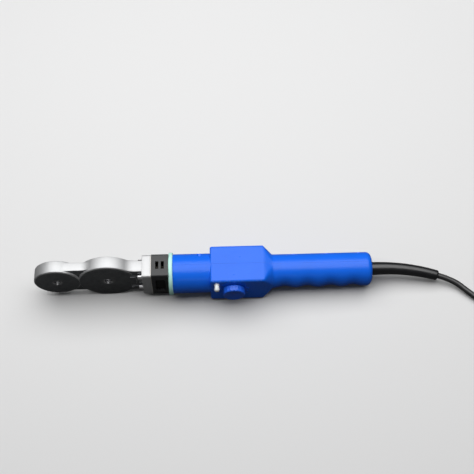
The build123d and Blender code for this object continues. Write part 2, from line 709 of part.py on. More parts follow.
def sleeve_point(s):
    """Point on the sleeve's axis, s along it from the end of the grip, with its heading."""
    roll = math.radians(SLEEVE_ROLL)
    down = Vector(0, -math.cos(roll), -math.sin(roll))
    ahead = Vector(1, 0, 0)
    start = Vector(END_X, 0, 0)
    if s <= SLEEVE_STRAIGHT:
        return start + ahead * s, ahead
    turn = (s - SLEEVE_STRAIGHT) / SLEEVE_BEND_R
    along = SLEEVE_BEND_R * math.sin(turn)
    aside = SLEEVE_BEND_R * (1 - math.cos(turn))
    heading = ahead * math.cos(turn) + down * math.sin(turn)
    return start + ahead * (SLEEVE_STRAIGHT + along) + down * aside, heading


def sleeve_path(first_x):
    """Axis of the sleeve from a station inside the grip to its far end."""
    bend = sleeve_point(SLEEVE_STRAIGHT)[0]
    mid = sleeve_point((SLEEVE_STRAIGHT + SLEEVE_L) / 2)[0]
    end = sleeve_point(SLEEVE_L)[0]
    return Line((first_x, 0, 0), bend) + ThreePointArc(bend, mid, end)


def cord_sleeve():
    sections = []
    for k in range(SLEEVE_STEPS + 1):
        share = k / SLEEVE_STEPS
        point, heading = sleeve_point(SLEEVE_STRAIGHT + share * (SLEEVE_L - SLEEVE_STRAIGHT))
        r = SLEEVE_R - (SLEEVE_R - SLEEVE_TIP_R) * share**2.5
        sections.append(Plane(point, z_dir=heading) * Circle(r))
    sleeve = rod(HOLLOW_END_X - SLEEVE_FLANGE_T, END_X + SLEEVE_STRAIGHT, SLEEVE_R) + loft(sections)
    sleeve += rod(HOLLOW_END_X - SLEEVE_FLANGE_T, HOLLOW_END_X, SLEEVE_FLANGE_R)
    point, heading = sleeve_point(SLEEVE_L)
    bore = tube(sleeve_path(HOLLOW_END_X - SLEEVE_FLANGE_T - CUT), CORD_R + SLEEVE_BORE)
    beyond = extrude(Plane(point, z_dir=heading) * Circle(CORD_R + SLEEVE_BORE), CUT)
    return sleeve - bore - beyond


def cord_tail():
    return tube(sleeve_path(SHEATH_X), CORD_R)


def seated(point):
    """Place of a point of the tool once it lies on the ground."""
    return (SEAT * Pos(*point)).position


def free_points():
    """Cord from the mouth of the sleeve to the coil, on the ground."""
    grip_end = seated((END_X, 0, 0))
    point, heading = sleeve_point(SLEEVE_L)
    mouth = seated(tuple(point))
    ahead = seated(tuple(point + heading * FREE_FIRST_RUN))
    points = [tuple(mouth), tuple(ahead)]
    return points + [(grip_end.X + dx, grip_end.Y + dy, z) for dx, dy, z in FREE_POINTS]


def mains_cord():
    points = free_points()
    return tube(FilletPolyline(*points, radius=bend_radii(points, "cord")), CORD_R)


def coil_turns():
    """Radius and climb of each half turn, layer by layer, in and out by turns."""
    pitch = 2 * CORD_R + COIL_GAP
    half = pitch / 2
    inward = [COIL_INNER_R + half * k for k in range(COIL_LAYER_TURNS, 0, -1)]
    outer = COIL_INNER_R + half * (COIL_LAYER_TURNS + 1)
    turns = []
    for layer in range(COIL_LAYERS):
        last = layer == COIL_LAYERS - 1
        rows = inward if layer % 2 == 0 else inward[::-1]
        turns += [(r, 0.0) for r in rows]
        turns.append((COIL_INNER_R if layer % 2 == 0 else outer, 0.0 if last else pitch))
    return turns


def coil_edges():
    """Straight end, half turns and straight end of the coil's axis."""
    at = Vector(*free_points()[-1])
    ahead = Vector(1, 0, 0)
    side = Vector(0, 1, 0)
    edges = [Line(at, at + ahead * COIL_STRAIGHT)]
    at = at + ahead * COIL_STRAIGHT
    for r, climb in coil_turns():
        end = at + side * (2 * r) + Vector(0, 0, climb)
        apex = (at + end) / 2 + ahead * ((end - at).length / 2)
        edges.append(ThreePointArc(at, apex, end))
        at = end
        ahead = ahead * -1
        side = side * -1
    edges.append(Line(at, at + ahead * COIL_STRAIGHT))
    return edges


def coil_gap(edges):
    """Least clear gap between one turn of the coil and another."""
    points = []
    travelled = 0.0
    for edge in edges:
        steps = max(2, int(edge.length / 3))
        points += [(travelled + edge.length * k / steps, edge @ (k / steps)) for k in range(steps)]
        travelled += edge.length
    least = FAR
    for i, (s, p) in enumerate(points):
        for t, q in points[i + 1:]:
            if t - s > 8 * CORD_R:
                least = min(least, (q - p).length)
    return least - 2 * CORD_R


def cord_coil():
    edges = coil_edges()
    print("coil length", round(sum(e.length for e in edges), 1), "least gap", round(coil_gap(edges), 2))
    return tube(Wire([edge.edge() for edge in edges]), CORD_R)


def coil_centre():
    return Vector(*free_points()[-1]) + Vector(COIL_STRAIGHT, coil_turns()[0][0], 0)


def coil_tie():
    """Flat band round all the turns on the coil's right side."""
    centre = coil_centre()
    pitch = 2 * CORD_R + COIL_GAP
    half = pitch / 2
    low = math.sqrt((COIL_INNER_R + half) ** 2 - (half + TIE_W / 2) ** 2) - CORD_R - TIE_GAP
    high = COIL_INNER_R + half * COIL_LAYER_TURNS + CORD_R + TIE_GAP
    tall = (COIL_LAYERS - 1) * pitch + 2 * CORD_R + 2 * TIE_GAP
    inner = RectangleRounded(high - low, tall, TIE_R)
    outer = RectangleRounded(high - low + 2 * TIE_T, tall + 2 * TIE_T, TIE_R + TIE_T)
    middle = centre.Z - CORD_R - TIE_GAP + tall / 2
    spot = Plane((centre.X + (low + high) / 2, centre.Y + half, middle), x_dir=(1, 0, 0), z_dir=(0, -1, 0))
    return extrude(spot * (outer - inner), TIE_W / 2, both=True)


def plug_back():
    """Middle of the back of the plug, where the lead goes in."""
    last = Vector(*free_points()[-1])
    return Vector(coil_centre().X + PLUG_OFF[0], last.Y + PLUG_OFF[1], PLUG_R)


def plug_lead():
    end = coil_edges()[-1] @ 1
    start_x = coil_centre().X
    back = plug_back()
    points = [tuple(end)]
    points += [(start_x + dx, end.Y + dy, end.Z + dz) for dx, dy, dz in LEAD_RISE]
    points += [(back.X - LEAD_LEVEL_L, back.Y, back.Z), tuple(back)]
    return tube(FilletPolyline(*points, radius=bend_radii(points, "plug lead")), CORD_R)


def plug_stations():
    """Back, neck, shoulder, waist and front of the plug, from its back."""
    neck = PLUG_RELIEF_L
    shoulder = neck + PLUG_SHOULDER_L
    waist = shoulder + PLUG_WAIST_L
    return neck, shoulder, waist, waist + PLUG_RIM_L


def plug_body():
    neck, shoulder, waist, front = plug_stations()
    edge = Polyline(
        (0, 0), (PLUG_RELIEF_R, 0), (PLUG_NECK_R, neck), (PLUG_SHOULDER_R, shoulder),
        (PLUG_SHOULDER_R, waist), (PLUG_R, waist + PLUG_R - PLUG_SHOULDER_R), (PLUG_R, front), (0, front), (0, 0),
    )
    body = revolve(make_face(edge), Axis.Y)
    body = Rot(0, 0, -90) * body
    rims = body.edges().filter_by(GeomType.CIRCLE)
    body = fillet(rims.filter_by(lambda e: e.center().X > CUT), PLUG_EDGE_R)
    for side in (-1, 1):
        body -= rod(front - PIN_IN, front + CUT, PIN_ROOT_R + PRESS, side * PIN_PITCH / 2)
        low = min(side * (PLUG_R - STRIP_NOTCH), side * FAR)
        high = max(side * (PLUG_R - STRIP_NOTCH), side * FAR)
        half = STRIP_W / 2 + FIT
        body -= block(waist - CUT, front + CUT, -half, half, low, high)
    return Pos(*plug_back()) * body


def plug_pins():
    front = plug_stations()[3]
    pins = []
    for side in (-1, 1):
        pin = rod(front, front + PIN_L, PIN_R, side * PIN_PITCH / 2)
        pin = fillet(pin.edges().sort_by(Axis.X)[-1], PIN_TIP_R)
        pins.append(pin + rod(front - PIN_IN, front, PIN_ROOT_R, side * PIN_PITCH / 2))
    return Pos(*plug_back()) * group(pins)


def plug_earth_strips():
    waist, front = plug_stations()[2:]
    strips = []
    for side in (-1, 1):
        foot = side * (PLUG_R - STRIP_NOTCH)
        head = side * (PLUG_R - STRIP_NOTCH + STRIP_T)
        strips.append(block(waist - CUT, front, -STRIP_W / 2, STRIP_W / 2, min(foot, head), max(foot, head)))
    return Pos(*plug_back()) * group(strips)


def write(name, shape):
    """One file for each node."""
    solids = shape.solids()
    export_step(solids[0] if len(solids) == 1 else Compound(solids), os.path.join("parts", name + ".step"))


os.makedirs("parts", exist_ok=True)
FRONT, REAR = shells()
TOOL = {
    "heating_plate": heating_plate(),
    "heater_cartridges": heater_cartridges(),
    "temperature_sensor": temperature_sensor(),
    "heat_shield": heat_shield(),
    "flange_screws": flange_screws(),
    "flange_washers": flange_washers(),
    "vented_collar": vented_collar(),
    "insulating_ring": insulating_ring(),
    "mounting_disc": mounting_disc(),
    "front_shell": FRONT,
    "rear_shell": REAR,
    "shell_screws": shell_screws(),
    "control_board": control_board(),
    "board_screws": board_screws(),
    "potentiometer": potentiometer(),
    "knob_spindle": knob_spindle(),
    "temperature_knob": temperature_knob(),
    "indicator_lens": indicator_lens(),
    "indicator_led": indicator_led(),
    "power_relay": power_relay(),
    "filter_capacitor": filter_capacitor(),
    "terminal_block": terminal_block(),
    "mains_terminal": mains_terminal(),
    "heater_leads": heater_leads(),
    "sensor_lead": sensor_lead(),
    "earth_lead": earth_lead(),
    "earth_screw": earth_screw(),
    "cord_clamp": cord_clamp(),
    "clamp_screws": clamp_screws(),
    "cord_cores": cord_cores(),
    "cord_tail": cord_tail(),
    "cord_sleeve": cord_sleeve(),
}
for node, piece in TOOL.items():
    write(node, SEAT * piece)
write("mains_cord", mains_cord())
write("cord_coil", cord_coil())
write("coil_tie", coil_tie())
write("plug_lead", plug_lead())
write("plug_body", plug_body())
write("plug_pins", plug_pins())
write("plug_earth_strips", plug_earth_strips())
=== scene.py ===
import json
import math

import bmesh
import bpy
from mathutils import Matrix, Vector


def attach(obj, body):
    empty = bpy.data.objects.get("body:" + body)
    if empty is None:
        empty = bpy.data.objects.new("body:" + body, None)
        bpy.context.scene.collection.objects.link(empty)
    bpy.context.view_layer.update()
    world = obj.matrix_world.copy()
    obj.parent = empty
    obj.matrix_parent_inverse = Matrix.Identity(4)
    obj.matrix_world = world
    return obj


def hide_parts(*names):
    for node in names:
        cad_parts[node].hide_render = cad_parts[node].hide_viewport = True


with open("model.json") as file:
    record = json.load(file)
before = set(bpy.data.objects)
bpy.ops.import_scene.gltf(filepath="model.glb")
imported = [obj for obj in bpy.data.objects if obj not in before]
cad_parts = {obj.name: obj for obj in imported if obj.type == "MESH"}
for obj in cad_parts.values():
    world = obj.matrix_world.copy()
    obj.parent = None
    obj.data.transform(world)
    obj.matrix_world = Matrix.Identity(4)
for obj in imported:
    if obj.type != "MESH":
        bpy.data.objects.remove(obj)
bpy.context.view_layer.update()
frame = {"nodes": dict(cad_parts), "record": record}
NODES = frame["nodes"]
SCENE = bpy.context.scene

# The tool is drawn level in millimetres, tip of the plate at x 0 and axis at y = z = 0, then laid down
MM = 0.001
TILT = 0.0481807
SEAT_SHIFT = (-0.190081, 0.004, 0.036997)
SEAT = Matrix.Translation(SEAT_SHIFT) @ Matrix.Rotation(TILT, 4, "Y") @ Matrix.Scale(MM, 4)

# Stations and sizes of the tool, in millimetres: first the plate
TIP_X = 26.0
TIP_R = 26.0
BIG_X = 83.0
BIG_R = 33.0
LOBE_HALF = 7.0
PAD_RISE = 0.3
PAD_EDGE = 1.2
PAD_SLOPE = (-0.15, 0.1)
RIM_STEPS = ((0.8, 0.0), (0.4, 0.11), (0.11, 0.4), (0.0, 0.8))
DIE_BORE_R = 4.25
BORE_EDGE = 1.2
WEB_HALF = 5.0
WEB_EASE = 0.4
WAIST_HALF = 24.0
NECK_HALF = 22.0
NECK_SINK = 0.08
NECK_EASE = 0.8
NECK_RUN_IN = 0.5
BLEND_R = 18.0
TIP_BLEND_STEPS = 8
BIG_BLEND_STEPS = 12
FLANGE_X = 122.0
FLANGE_T = 9.6
FLANGE_Y = 28.0
FLANGE_Z = 44.0
FLANGE_CORNER_R = 2.5
FLANGE_EASE = 0.5
GROOVE_X = 108.0
GROOVE_R = 4.2
GROOVE_RUN_IN = 1.5
BOLT_Y = 8.8
BOLT_Z = 12.0
FACE_SQUARE = 0.97  # how squarely a surface looks sideways to count as a turned face
FACE_REACH = 8.0
NEAR = 0.1
CAST_SKIN = 0
DARK_FACE = 1
BORE_WALL = 2

# Collar, flange screws and ring
# Sizes of the near-black sheets in the collar's windows, which paint the shade inside it
COLLAR_SHADE_SHEET_Y = 11.05
COLLAR_SHADE_SHEET_L = 18.2
COLLAR_SHADE_SHEET_H = 38.0
COLLAR_SHADE_SHEET_T = 0.2
COLLAR_SHADE_SHEET_BACK = 0.5
COLLAR_EASE = 0.35
SCREW_EASE = 0.2
RING_X = 151.6
RING_T = 4.4
RING_R = 24.0
RING_HOLE_R = 17.8
RING_EASE = 0.5

# Housing and grip, with the holes in them
SHELL_X = 156.0
NOSE_R = 22.0
NOSE_EDGE = ((0.0, 0.6), (0.18, 0.18), (0.6, 0.0))
NOSE_STATIONS = (165.0, 175.0, 185.0, 195.0)
NOSE_SHORT = 0.1
BOX_X = 198.0
BOX_HALF = 22.5
BOX_CORNER_R = 2.6
BOX_END_R = 2.0
BOX_END_TURNS = (0.0, 15.0, 30.0, 50.0, 70.0)
RUBBED = (42.9, 43.6)  # across plus up, where the corners begin to show wear and show it fully
BOX_STATIONS = (212.0, 224.0, 236.0, 248.0)
BOX_SHORT = 0.5
TAPER_X = 257.6
TAPER_SHARES = (0.05, 0.35, 0.65, 0.95)
GRIP_X = 268.0
GRIP_R = 19.0
GRIP_START = 0.6
GRIP_STEPS = 52
HOLLOW_PITCH = 26.0
HOLLOW_D = 2.2
HOLLOW_TURN = math.radians(62.0)
HEEL_X = 372.0
END_X = 380.0
HEEL_FILLET = 6.0
SLEEVE_HOLE_R = 7.6
SLEEVE_HOLE_D = 1.5
WALL = 2.8
SEAM = 0.06
SCREW_HOLES = (
    (186.4, -15.2), (186.4, 15.2), (253.0, -15.5), (253.0, 15.5),
    (292.0, 10.2), (330.25, 10.2), (366.0, 10.2),
)
SCREW_RECESS_R = 3.25
SCREW_SEAT_Y = 4.0
SCREW_HOLE_R = 1.7
WELL_WALL = 0.5
WELL_SHORT = 3.3
SPINDLE_HOLE_R = 3.7
HOLE_REACH = (-40.0, -10.0)
RECESS_REACH = 40.0

# Knob, the ticks round it and lens
KNOB_X = 224.0
KNOB_Z = 3.0
KNOB_R = 12.6
KNOB_BACK = 23.0
KNOB_FACE = 30.5
KNOB_SOCKET_R = 3.05
KNOB_SOCKET_D = 5.9
KNOB_FLUTES = 18
FLUTE_SHARE = 0.025
POINTER_SIZE = (1.5, 0.9, 6.4)
POINTER_EASE = 0.3
POINTER_OUT = 7.4
TICKS = 11
TICK_TURN = 135.0
TICK_W = 0.8
TICK_T = 0.7
TICK_LONG = 3.2
TICK_SHORT = 2.2
TICK_LONG_EVERY = 5
TICK_R = 14.6
TICK_RISE = 0.05
TICK_EASE = 0.2
LENS_X = 205.0
LENS_Z = 15.2
LENS_R = 3.0
LENS_STEM_R = 2.5
LENS_STEM_D = 6.0
LENS_PLAY = 0.1
LENS_END = 31.0

# Cord and its sleeve
CORD_R = 3.25
CORD_STEPS = 6
CORD_SIDES = 5
SLEEVE_R = 7.5
SLEEVE_TIP_R = 5.8
SLEEVE_STRAIGHT = 10.0
SLEEVE_L = 77.0
SLEEVE_BEND_R = 225.0
SLEEVE_ROLL = math.radians(24.0)
SLEEVE_END_R = 2.2
SLEEVE_ROOT = 3.0
SLEEVE_BORE = 0.1
SLEEVE_SPOKES = 48
SLEEVE_STEPS = 24
SLEEVE_BORE_STEPS = 16

# How finely pieces are turned, the angles in degrees at which edges count as sharp, and near points
LOBE_STEPS = 160
RING_STEPS = 96
KNOB_STEPS = 144
LENS_STEPS = 48
ROD_STEPS = 32
SHARP = 32.0
SHARP_TURNED = 40.0
SHARP_BOARD = 50.0
FLAT_TURN = 1.0
EASE_TURN = 40.0
RIM_TURN = 1.2  # in radians
TOUCH = 0.001  # in millimetres, points of a drawn piece that are one
WELD = 0.000004  # in metres, points of a copied piece that are one


# Camera and light

VIEW_FROM = (0.06234, -0.48825, 1.00678)
VIEW_RIGHT = (0.998589, -0.033070, -0.041544)
VIEW_UP = (0.048958, 0.876336, 0.479206)
VIEW_BACK = (0.020559, -0.480564, 0.876719)
VIEW_LENS = 73.585
VIEW_SENSOR = 36.0
KEY_PLACE = (0.0, 0.38, 1.15)
KEY_AIM = (0.0, 0.33, 0.0)
KEY_SIZE = (2.0, 1.4)
KEY_WATTS = 25.0
FILL_PLACE = (-0.05, -1.15, 0.62)
FILL_AIM = (0.0, 0.0, 0.03)
FILL_SIZE = (0.5, 0.3)
FILL_WATTS = 0.3
SKY = (0.95, 0.97, 1.0, 1)
SKY_LIGHT = 0.04
SKY_SEEN = 0.75
FLOOR_HALF = 6.0
FLOOR_SEEN = (0.74, 0.74, 0.74, 1)
FLOOR_MIRRORED = (0.08, 0.08, 0.08, 1)
FLOOR_FAR = (0.71, 0.73, 0.75, 1)
FLOOR_FADE = (480.0, 1600.0)


def camera():
    data = bpy.data.cameras.new("camera")
    data.sensor_width = VIEW_SENSOR
    data.lens = VIEW_LENS
    eye = bpy.data.objects.new("camera", data)
    turn = Matrix((VIEW_RIGHT, VIEW_UP, VIEW_BACK)).transposed().to_4x4()
    eye.matrix_world = Matrix.Translation(VIEW_FROM) @ turn
    SCENE.collection.objects.link(eye)
    SCENE.camera = eye


def softbox(name, place, aim, size, watts):
    data = bpy.data.lights.new(name, "AREA")
    data.shape = "RECTANGLE"
    data.size = size[0]
    data.size_y = size[1]
    data.energy = watts
    lamp = bpy.data.objects.new(name, data)
    lamp.location = place
    lamp.rotation_euler = (Vector(aim) - Vector(place)).to_track_quat("-Z", "Y").to_euler()
    SCENE.collection.objects.link(lamp)


# Finishes


class Value:
    """A shader socket that can stand in a sum."""

    def __init__(self, finish, socket):
        self.finish = finish
        self.socket = socket

    def sum(self, operation, left, right):
        return self.finish.node("ShaderNodeMath", {"operation": operation}, {0: left, 1: right})

    def __add__(self, other):
        return self.sum("ADD", self, other)

    def __sub__(self, other):
        return self.sum("SUBTRACT", self, other)

    def __mul__(self, other):
        return self.sum("MULTIPLY", self, other)

    def __radd__(self, other):
        return self.sum("ADD", other, self)

    def __rsub__(self, other):
        return self.sum("SUBTRACT", other, self)

    def __rmul__(self, other):
        return self.sum("MULTIPLY", other, self)

    def __abs__(self):
        return self.finish.node("ShaderNodeMath", {"operation": "ABSOLUTE"}, {0: self})


class Finish:
    """One material: a main shader and the nodes that vary it."""

    def __init__(self, name, **constants):
        self.material = bpy.data.materials.new(name)
        self.material.use_nodes = True
        self.tree = self.material.node_tree
        self.shader = self.tree.nodes["Principled BSDF"]
        self.set(constants)

    def link(self, value, socket):
        if isinstance(value, Value):
            self.tree.links.new(value.socket, socket)
        else:
            socket.default_value = value

    def set(self, sockets):
        for name, value in sockets.items():
            self.link(value, self.shader.inputs[name])

    def node(self, kind, settings, sockets, out=0):
        made = self.tree.nodes.new(kind)
        for name, value in settings.items():
            setattr(made, name, value)
        for name, value in sockets.items():
            self.link(value, made.inputs[name])
        return Value(self, made.outputs[out])

    def tool(self):
        """Place on the tool as drawn, in millimetres."""
        at = self.node("ShaderNodeTexCoord", {}, {}, "Object")
        seat = {"Vector": at, "Location": SEAT_SHIFT, "Rotation": (0, TILT, 0), "Scale": (MM, MM, MM)}
        return self.node("ShaderNodeMapping", {"vector_type": "TEXTURE"}, seat)

    def ground(self):
        """Place on the ground, in millimetres."""
        at = self.node("ShaderNodeTexCoord", {}, {}, "Object")
        size = {"Vector": at, "Scale": (MM, MM, MM)}
        return self.node("ShaderNodeMapping", {"vector_type": "TEXTURE"}, size)

    def stretch(self, at, x, y, z):
        return self.node("ShaderNodeVectorMath", {"operation": "MULTIPLY"}, {0: at, 1: (x, y, z)})

    def axes(self, at):
        parts = self.node("ShaderNodeSeparateXYZ", {}, {"Vector": at})
        return [Value(self, out) for out in parts.socket.node.outputs]

    def noise(self, at, scale, detail=3.0, rough=0.55):
        sockets = {"Vector": at, "Scale": scale, "Detail": detail, "Roughness": rough}
        return self.node("ShaderNodeTexNoise", {}, sockets)

    def wave(self, value):
        return self.node("ShaderNodeMath", {"operation": "SINE"}, {0: value})

    def root(self, value):
        return self.node("ShaderNodeMath", {"operation": "SQRT"}, {0: value})

    def least(self, left, right):
        return self.node("ShaderNodeMath", {"operation": "MINIMUM"}, {0: left, 1: right})

    def between(self, value, low, high):
        """From 0 below low to 1 above high, smoothly."""
        sockets = {"Value": value, "From Min": low, "From Max": high}
        return self.node("ShaderNodeMapRange", {"interpolation_type": "SMOOTHSTEP"}, sockets)

    def mix(self, share, first, second):
        return self.node("ShaderNodeMix", {"data_type": "RGBA"}, {0: share, 6: first, 7: second}, 2)

    def bump(self, height, depth):
        """Relief of that many millimetres."""
        sockets = {"Height": height, "Distance": depth * MM, "Strength": 1.0}
        return self.node("ShaderNodeBump", {}, sockets)


def tint(colour, share):
    return tuple(min(1.0, c * share) for c in colour[:3]) + (1.0,)


def moulded_blue(name, colour, gloss):
    """Moulded plastic: fine spark grain, cloudy gloss, worn corners of the square part."""
    f = Finish(name, **{"IOR": 1.48, "Specular IOR Level": 0.36})
    at = f.tool()
    _, y, z = f.axes(at)
    cloud = f.noise(at, 0.035, 3.0)
    smear = f.noise(f.stretch(at, 0.4, 1.0, 1.0), 0.16, 4.0, 0.6)
    grain = f.noise(at, 2.6, 2.0)
    patches = f.between(f.noise(at, 0.5, 4.0), 0.48, 0.62)
    corner = f.between(abs(y) + abs(z), *RUBBED) * patches
    body = f.mix(cloud, tint(colour, 0.93), tint(colour, 1.06))
    worn = tuple(0.75 * c + 0.16 for c in colour[:3]) + (1.0,)
    f.set({
        "Base Color": f.mix(corner * 0.45, body, worn),
        "Roughness": gloss + 0.12 * smear + 0.12 * corner,
        "Normal": f.bump(grain, 0.012),
    })
    return f.material


def cast_aluminium():
    """Edges, neck and flange of the plate: satin cast metal with drawn lines along the tool."""
    f = Finish("cast_aluminium", **{"Metallic": 0.78})
    at = f.tool()
    lines = f.noise(f.stretch(at, 0.05, 1.0, 1.0), 1.6, 4.0, 0.6)
    pits = f.noise(at, 1.1, 3.0)
    stain = f.noise(at, 0.09, 4.0, 0.6)
    f.set({
        "Base Color": f.mix(stain, (0.53, 0.535, 0.54, 1), (0.66, 0.665, 0.67, 1)),
        "Roughness": 0.46 + 0.12 * lines + 0.10 * stain,
        "Normal": f.bump(lines + pits * 0.6, 0.03),
    })
    return f.material


def turned_face():
    """Faces of the plate, turned in rings round each die bore. Their dark base is painted reflection of
    dark surroundings, and the lighter patch beside each bore is a painted highlight.
    """
    f = Finish("turned_face", **{"Metallic": 0.9})
    at = f.tool()
    x, _, z = f.axes(at)
    tip = f.root((x - TIP_X) * (x - TIP_X) + z * z)
    big = f.root((x - BIG_X) * (x - BIG_X) + z * z)
    ring = f.least(tip, big * 0.8)
    grooves = f.wave(f.least(tip, big) * 9.0) * 0.5 + 0.5
    wobble = f.noise(at, 0.22, 4.0, 0.6)
    # Painted highlight: the faces turn lighter in a patch round each die bore
    painted_bore_highlight = (1.0 - f.between(ring + wobble * 5.0, 5.5, 10.0)) * 0.35
    scratch = f.between(f.noise(f.stretch(at, 0.12, 1.0, 2.4), 0.9, 3.0), 0.62, 0.72) * 0.35
    # Painted reflection: the dark grey base stands for the dark surroundings that the faces mirror
    dark = f.mix(wobble, (0.10, 0.105, 0.118, 1), (0.30, 0.31, 0.32, 1))
    f.set({
        "Base Color": f.mix(painted_bore_highlight + scratch * 0.5, dark, (0.62, 0.62, 0.61, 1)),
        "Roughness": 0.24 + 0.14 * wobble + 0.08 * grooves,
        "Normal": f.bump(grooves + scratch, 0.012),
    })
    return f.material


def black_enamel():
    """Collar: black stoving paint with a light orange peel."""
    f = Finish("black_enamel", **{"IOR": 1.5})
    at = f.tool()
    peel = f.noise(at, 0.9, 2.0)
    dust = f.noise(at, 0.14, 4.0, 0.62)
    f.set({
        "Base Color": f.mix(dust, (0.010, 0.011, 0.012, 1), (0.030, 0.032, 0.034, 1)),
        "Roughness": 0.30 + 0.18 * dust,
        "Normal": f.bump(peel, 0.03),
    })
    return f.material


def mint_laminate():
    """Insulating ring: pale green board, layers showing at its rim."""
    f = Finish("mint_laminate", **{"IOR": 1.5})
    at = f.tool()
    x, _, _ = f.axes(at)
    layers = f.wave(x * 9.0 + f.noise(at, 0.3) * 2.0) * 0.5 + 0.5
    fleck = f.noise(at, 0.8, 4.0, 0.6)
    pale = f.mix(fleck, (0.54, 0.95, 0.80, 1), (0.64, 1.0, 0.92, 1))
    f.set({
        "Base Color": f.mix(layers * 0.14, pale, (0.34, 0.66, 0.64, 1)),
        "Roughness": 0.38 + 0.2 * fleck,
        "Normal": f.bump(layers * 0.5 + fleck, 0.02),
    })
    return f.material


def plated_steel(name, colour):
    f = Finish(name, **{"Metallic": 1.0})
    at = f.ground()
    mottle = f.noise(at, 0.35, 4.0, 0.6)
    marks = f.noise(at, 2.4, 2.0)
    f.set({
        "Base Color": f.mix(mottle, tint(colour, 0.82), tint(colour, 1.08)),
        "Roughness": 0.20 + 0.16 * mottle,
        "Normal": f.bump(marks, 0.008),
    })
    return f.material


def milky_lens():
    f = Finish("milky_lens", **{"IOR": 1.5, "Coat Roughness": 0.05, "Coat Weight": 0.4})
    at = f.tool()
    haze = f.noise(at, 0.5, 3.0)
    f.set({
        "Base Color": f.mix(haze, (0.62, 0.65, 0.66, 1), (0.78, 0.80, 0.80, 1)),
        "Roughness": 0.14 + 0.12 * haze,
        "Normal": f.bump(haze, 0.02),
    })
    return f.material


def rubber(name, colour, rough):
    """Black rubber and sheath: dusty, with a fine skin."""
    f = Finish(name, **{"IOR": 1.52, "Specular IOR Level": 0.75})
    at = f.ground()
    dust = f.noise(at, 0.10, 5.0, 0.62)
    skin = f.noise(at, 3.0, 2.0)
    f.set({
        "Base Color": f.mix(dust, tint(colour, 0.7), tint(colour, 1.6)),
        "Roughness": rough + 0.14 * dust,
        "Normal": f.bump(skin, 0.012),
    })
    return f.material


def woven_band():
    f = Finish("woven_band", **{"Sheen Weight": 0.3})
    at = f.ground()
    x, y, z = f.axes(at)
    weave = f.wave(x * 7.0 + z * 7.0) * f.wave(y * 7.0) * 0.5 + 0.5
    fuzz = f.noise(at, 1.4, 4.0)
    f.set({
        "Base Color": f.mix(weave, (0.018, 0.018, 0.020, 1), (0.055, 0.055, 0.058, 1)),
        "Roughness": 0.7 + 0.2 * fuzz,
        "Normal": f.bump(weave + fuzz * 0.4, 0.10),
    })
    return f.material


def inner_piece(name, colour, rough, metal):
    """Pieces inside the housing: plain stock with a little mottling."""
    f = Finish(name, **{"Metallic": metal})
    at = f.ground()
    mottle = f.noise(at, 0.4, 4.0, 0.6)
    f.set({
        "Base Color": f.mix(mottle, tint(colour, 0.85), tint(colour, 1.1)),
        "Roughness": rough + 0.12 * mottle,
        "Normal": f.bump(mottle, 0.02),
    })
    return f.material


BLUE = (0.008, 0.150, 0.88)
SHELL_BLUE = moulded_blue("shell_blue", BLUE, 0.24)
KNOB_BLUE = moulded_blue("knob_blue", (0.016, 0.125, 0.76), 0.28)
CAST = cast_aluminium()
TURNED = turned_face()
ENAMEL = black_enamel()
LAMINATE = mint_laminate()
SCREW = plated_steel("screw_steel", (0.66, 0.66, 0.67))
ZINC = plated_steel("zinc_steel", (0.60, 0.61, 0.63))
# Painted shade: near-black steel for the flange screws' shanks inside the collar
SHANK_SHADE_STEEL = plated_steel("painted_shade_steel", (0.05, 0.045, 0.042))
NICKEL = plated_steel("nickel", (0.72, 0.69, 0.62))
LENS = milky_lens()
# Painted shade: near-black sheets set in the collar's windows where its inside lies in shade
SHADE_SHEET_BLACK = inner_piece("painted_shade_sheet", (0.012, 0.011, 0.010), 0.8, 0.0)
SLEEVE = rubber("sleeve_rubber", (0.006, 0.006, 0.007), 0.26)
SHEATH = rubber("cord_sheath", (0.014, 0.014, 0.015), 0.30)
PLUG = rubber("plug_rubber", (0.016, 0.016, 0.017), 0.34)
BAND = woven_band()

SLOT_FINISH = {
    "plate": CAST,
    "screw_steel": SCREW,
    "zinc_steel": ZINC,
    "collar": ENAMEL,
    "ring": LAMINATE,
    "shell": SHELL_BLUE,
    "knob": KNOB_BLUE,
    "lens": LENS,
    "cord": SHEATH,
    "sleeve": SLEEVE,
    "tie": BAND,
    "plug": PLUG,
    "contact": NICKEL,
    "heater_steel": inner_piece("heater_steel", (0.55, 0.55, 0.56), 0.28, 1.0),
    "spindle": inner_piece("spindle_brass", (0.72, 0.55, 0.28), 0.25, 1.0),
    "mica": inner_piece("mica", (0.66, 0.64, 0.60), 0.4, 0.3),
    "board": inner_piece("board", (0.03, 0.20, 0.08), 0.35, 0.0),
    "control_black": inner_piece("control_black", (0.03, 0.03, 0.03), 0.45, 0.0),
    "led": inner_piece("led", (0.70, 0.06, 0.03), 0.12, 0.0),
    "relay": inner_piece("relay", (0.04, 0.06, 0.20), 0.35, 0.0),
    "capacitor": inner_piece("capacitor", (0.06, 0.06, 0.20), 0.3, 0.0),
    "terminal": inner_piece("terminal", (0.04, 0.25, 0.08), 0.4, 0.0),
    # Painted shade: the lead sleeves are coloured dark brown so that they look shaded inside the collar
    "lead_sleeve": inner_piece("lead_sleeve", (0.09, 0.075, 0.06), 0.75, 0.0),
    "sensor_wire": inner_piece("sensor_wire", (0.66, 0.55, 0.14), 0.7, 0.0),
    "earth_wire": inner_piece("earth_wire", (0.14, 0.42, 0.03), 0.45, 0.0),
    "core_wire": inner_piece("core_wire", (0.04, 0.08, 0.35), 0.45, 0.0),
}


# Pieces


def finished(name, mesh, finishes, node, body="tool"):
    """A piece in the scene, which may stand for a CAD node."""
    piece = bpy.data.objects.new(name, mesh)
    for finish in finishes:
        mesh.materials.append(finish)
    SCENE.collection.objects.link(piece)
    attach(piece, body)
    if node:
        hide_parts(node)
    return piece


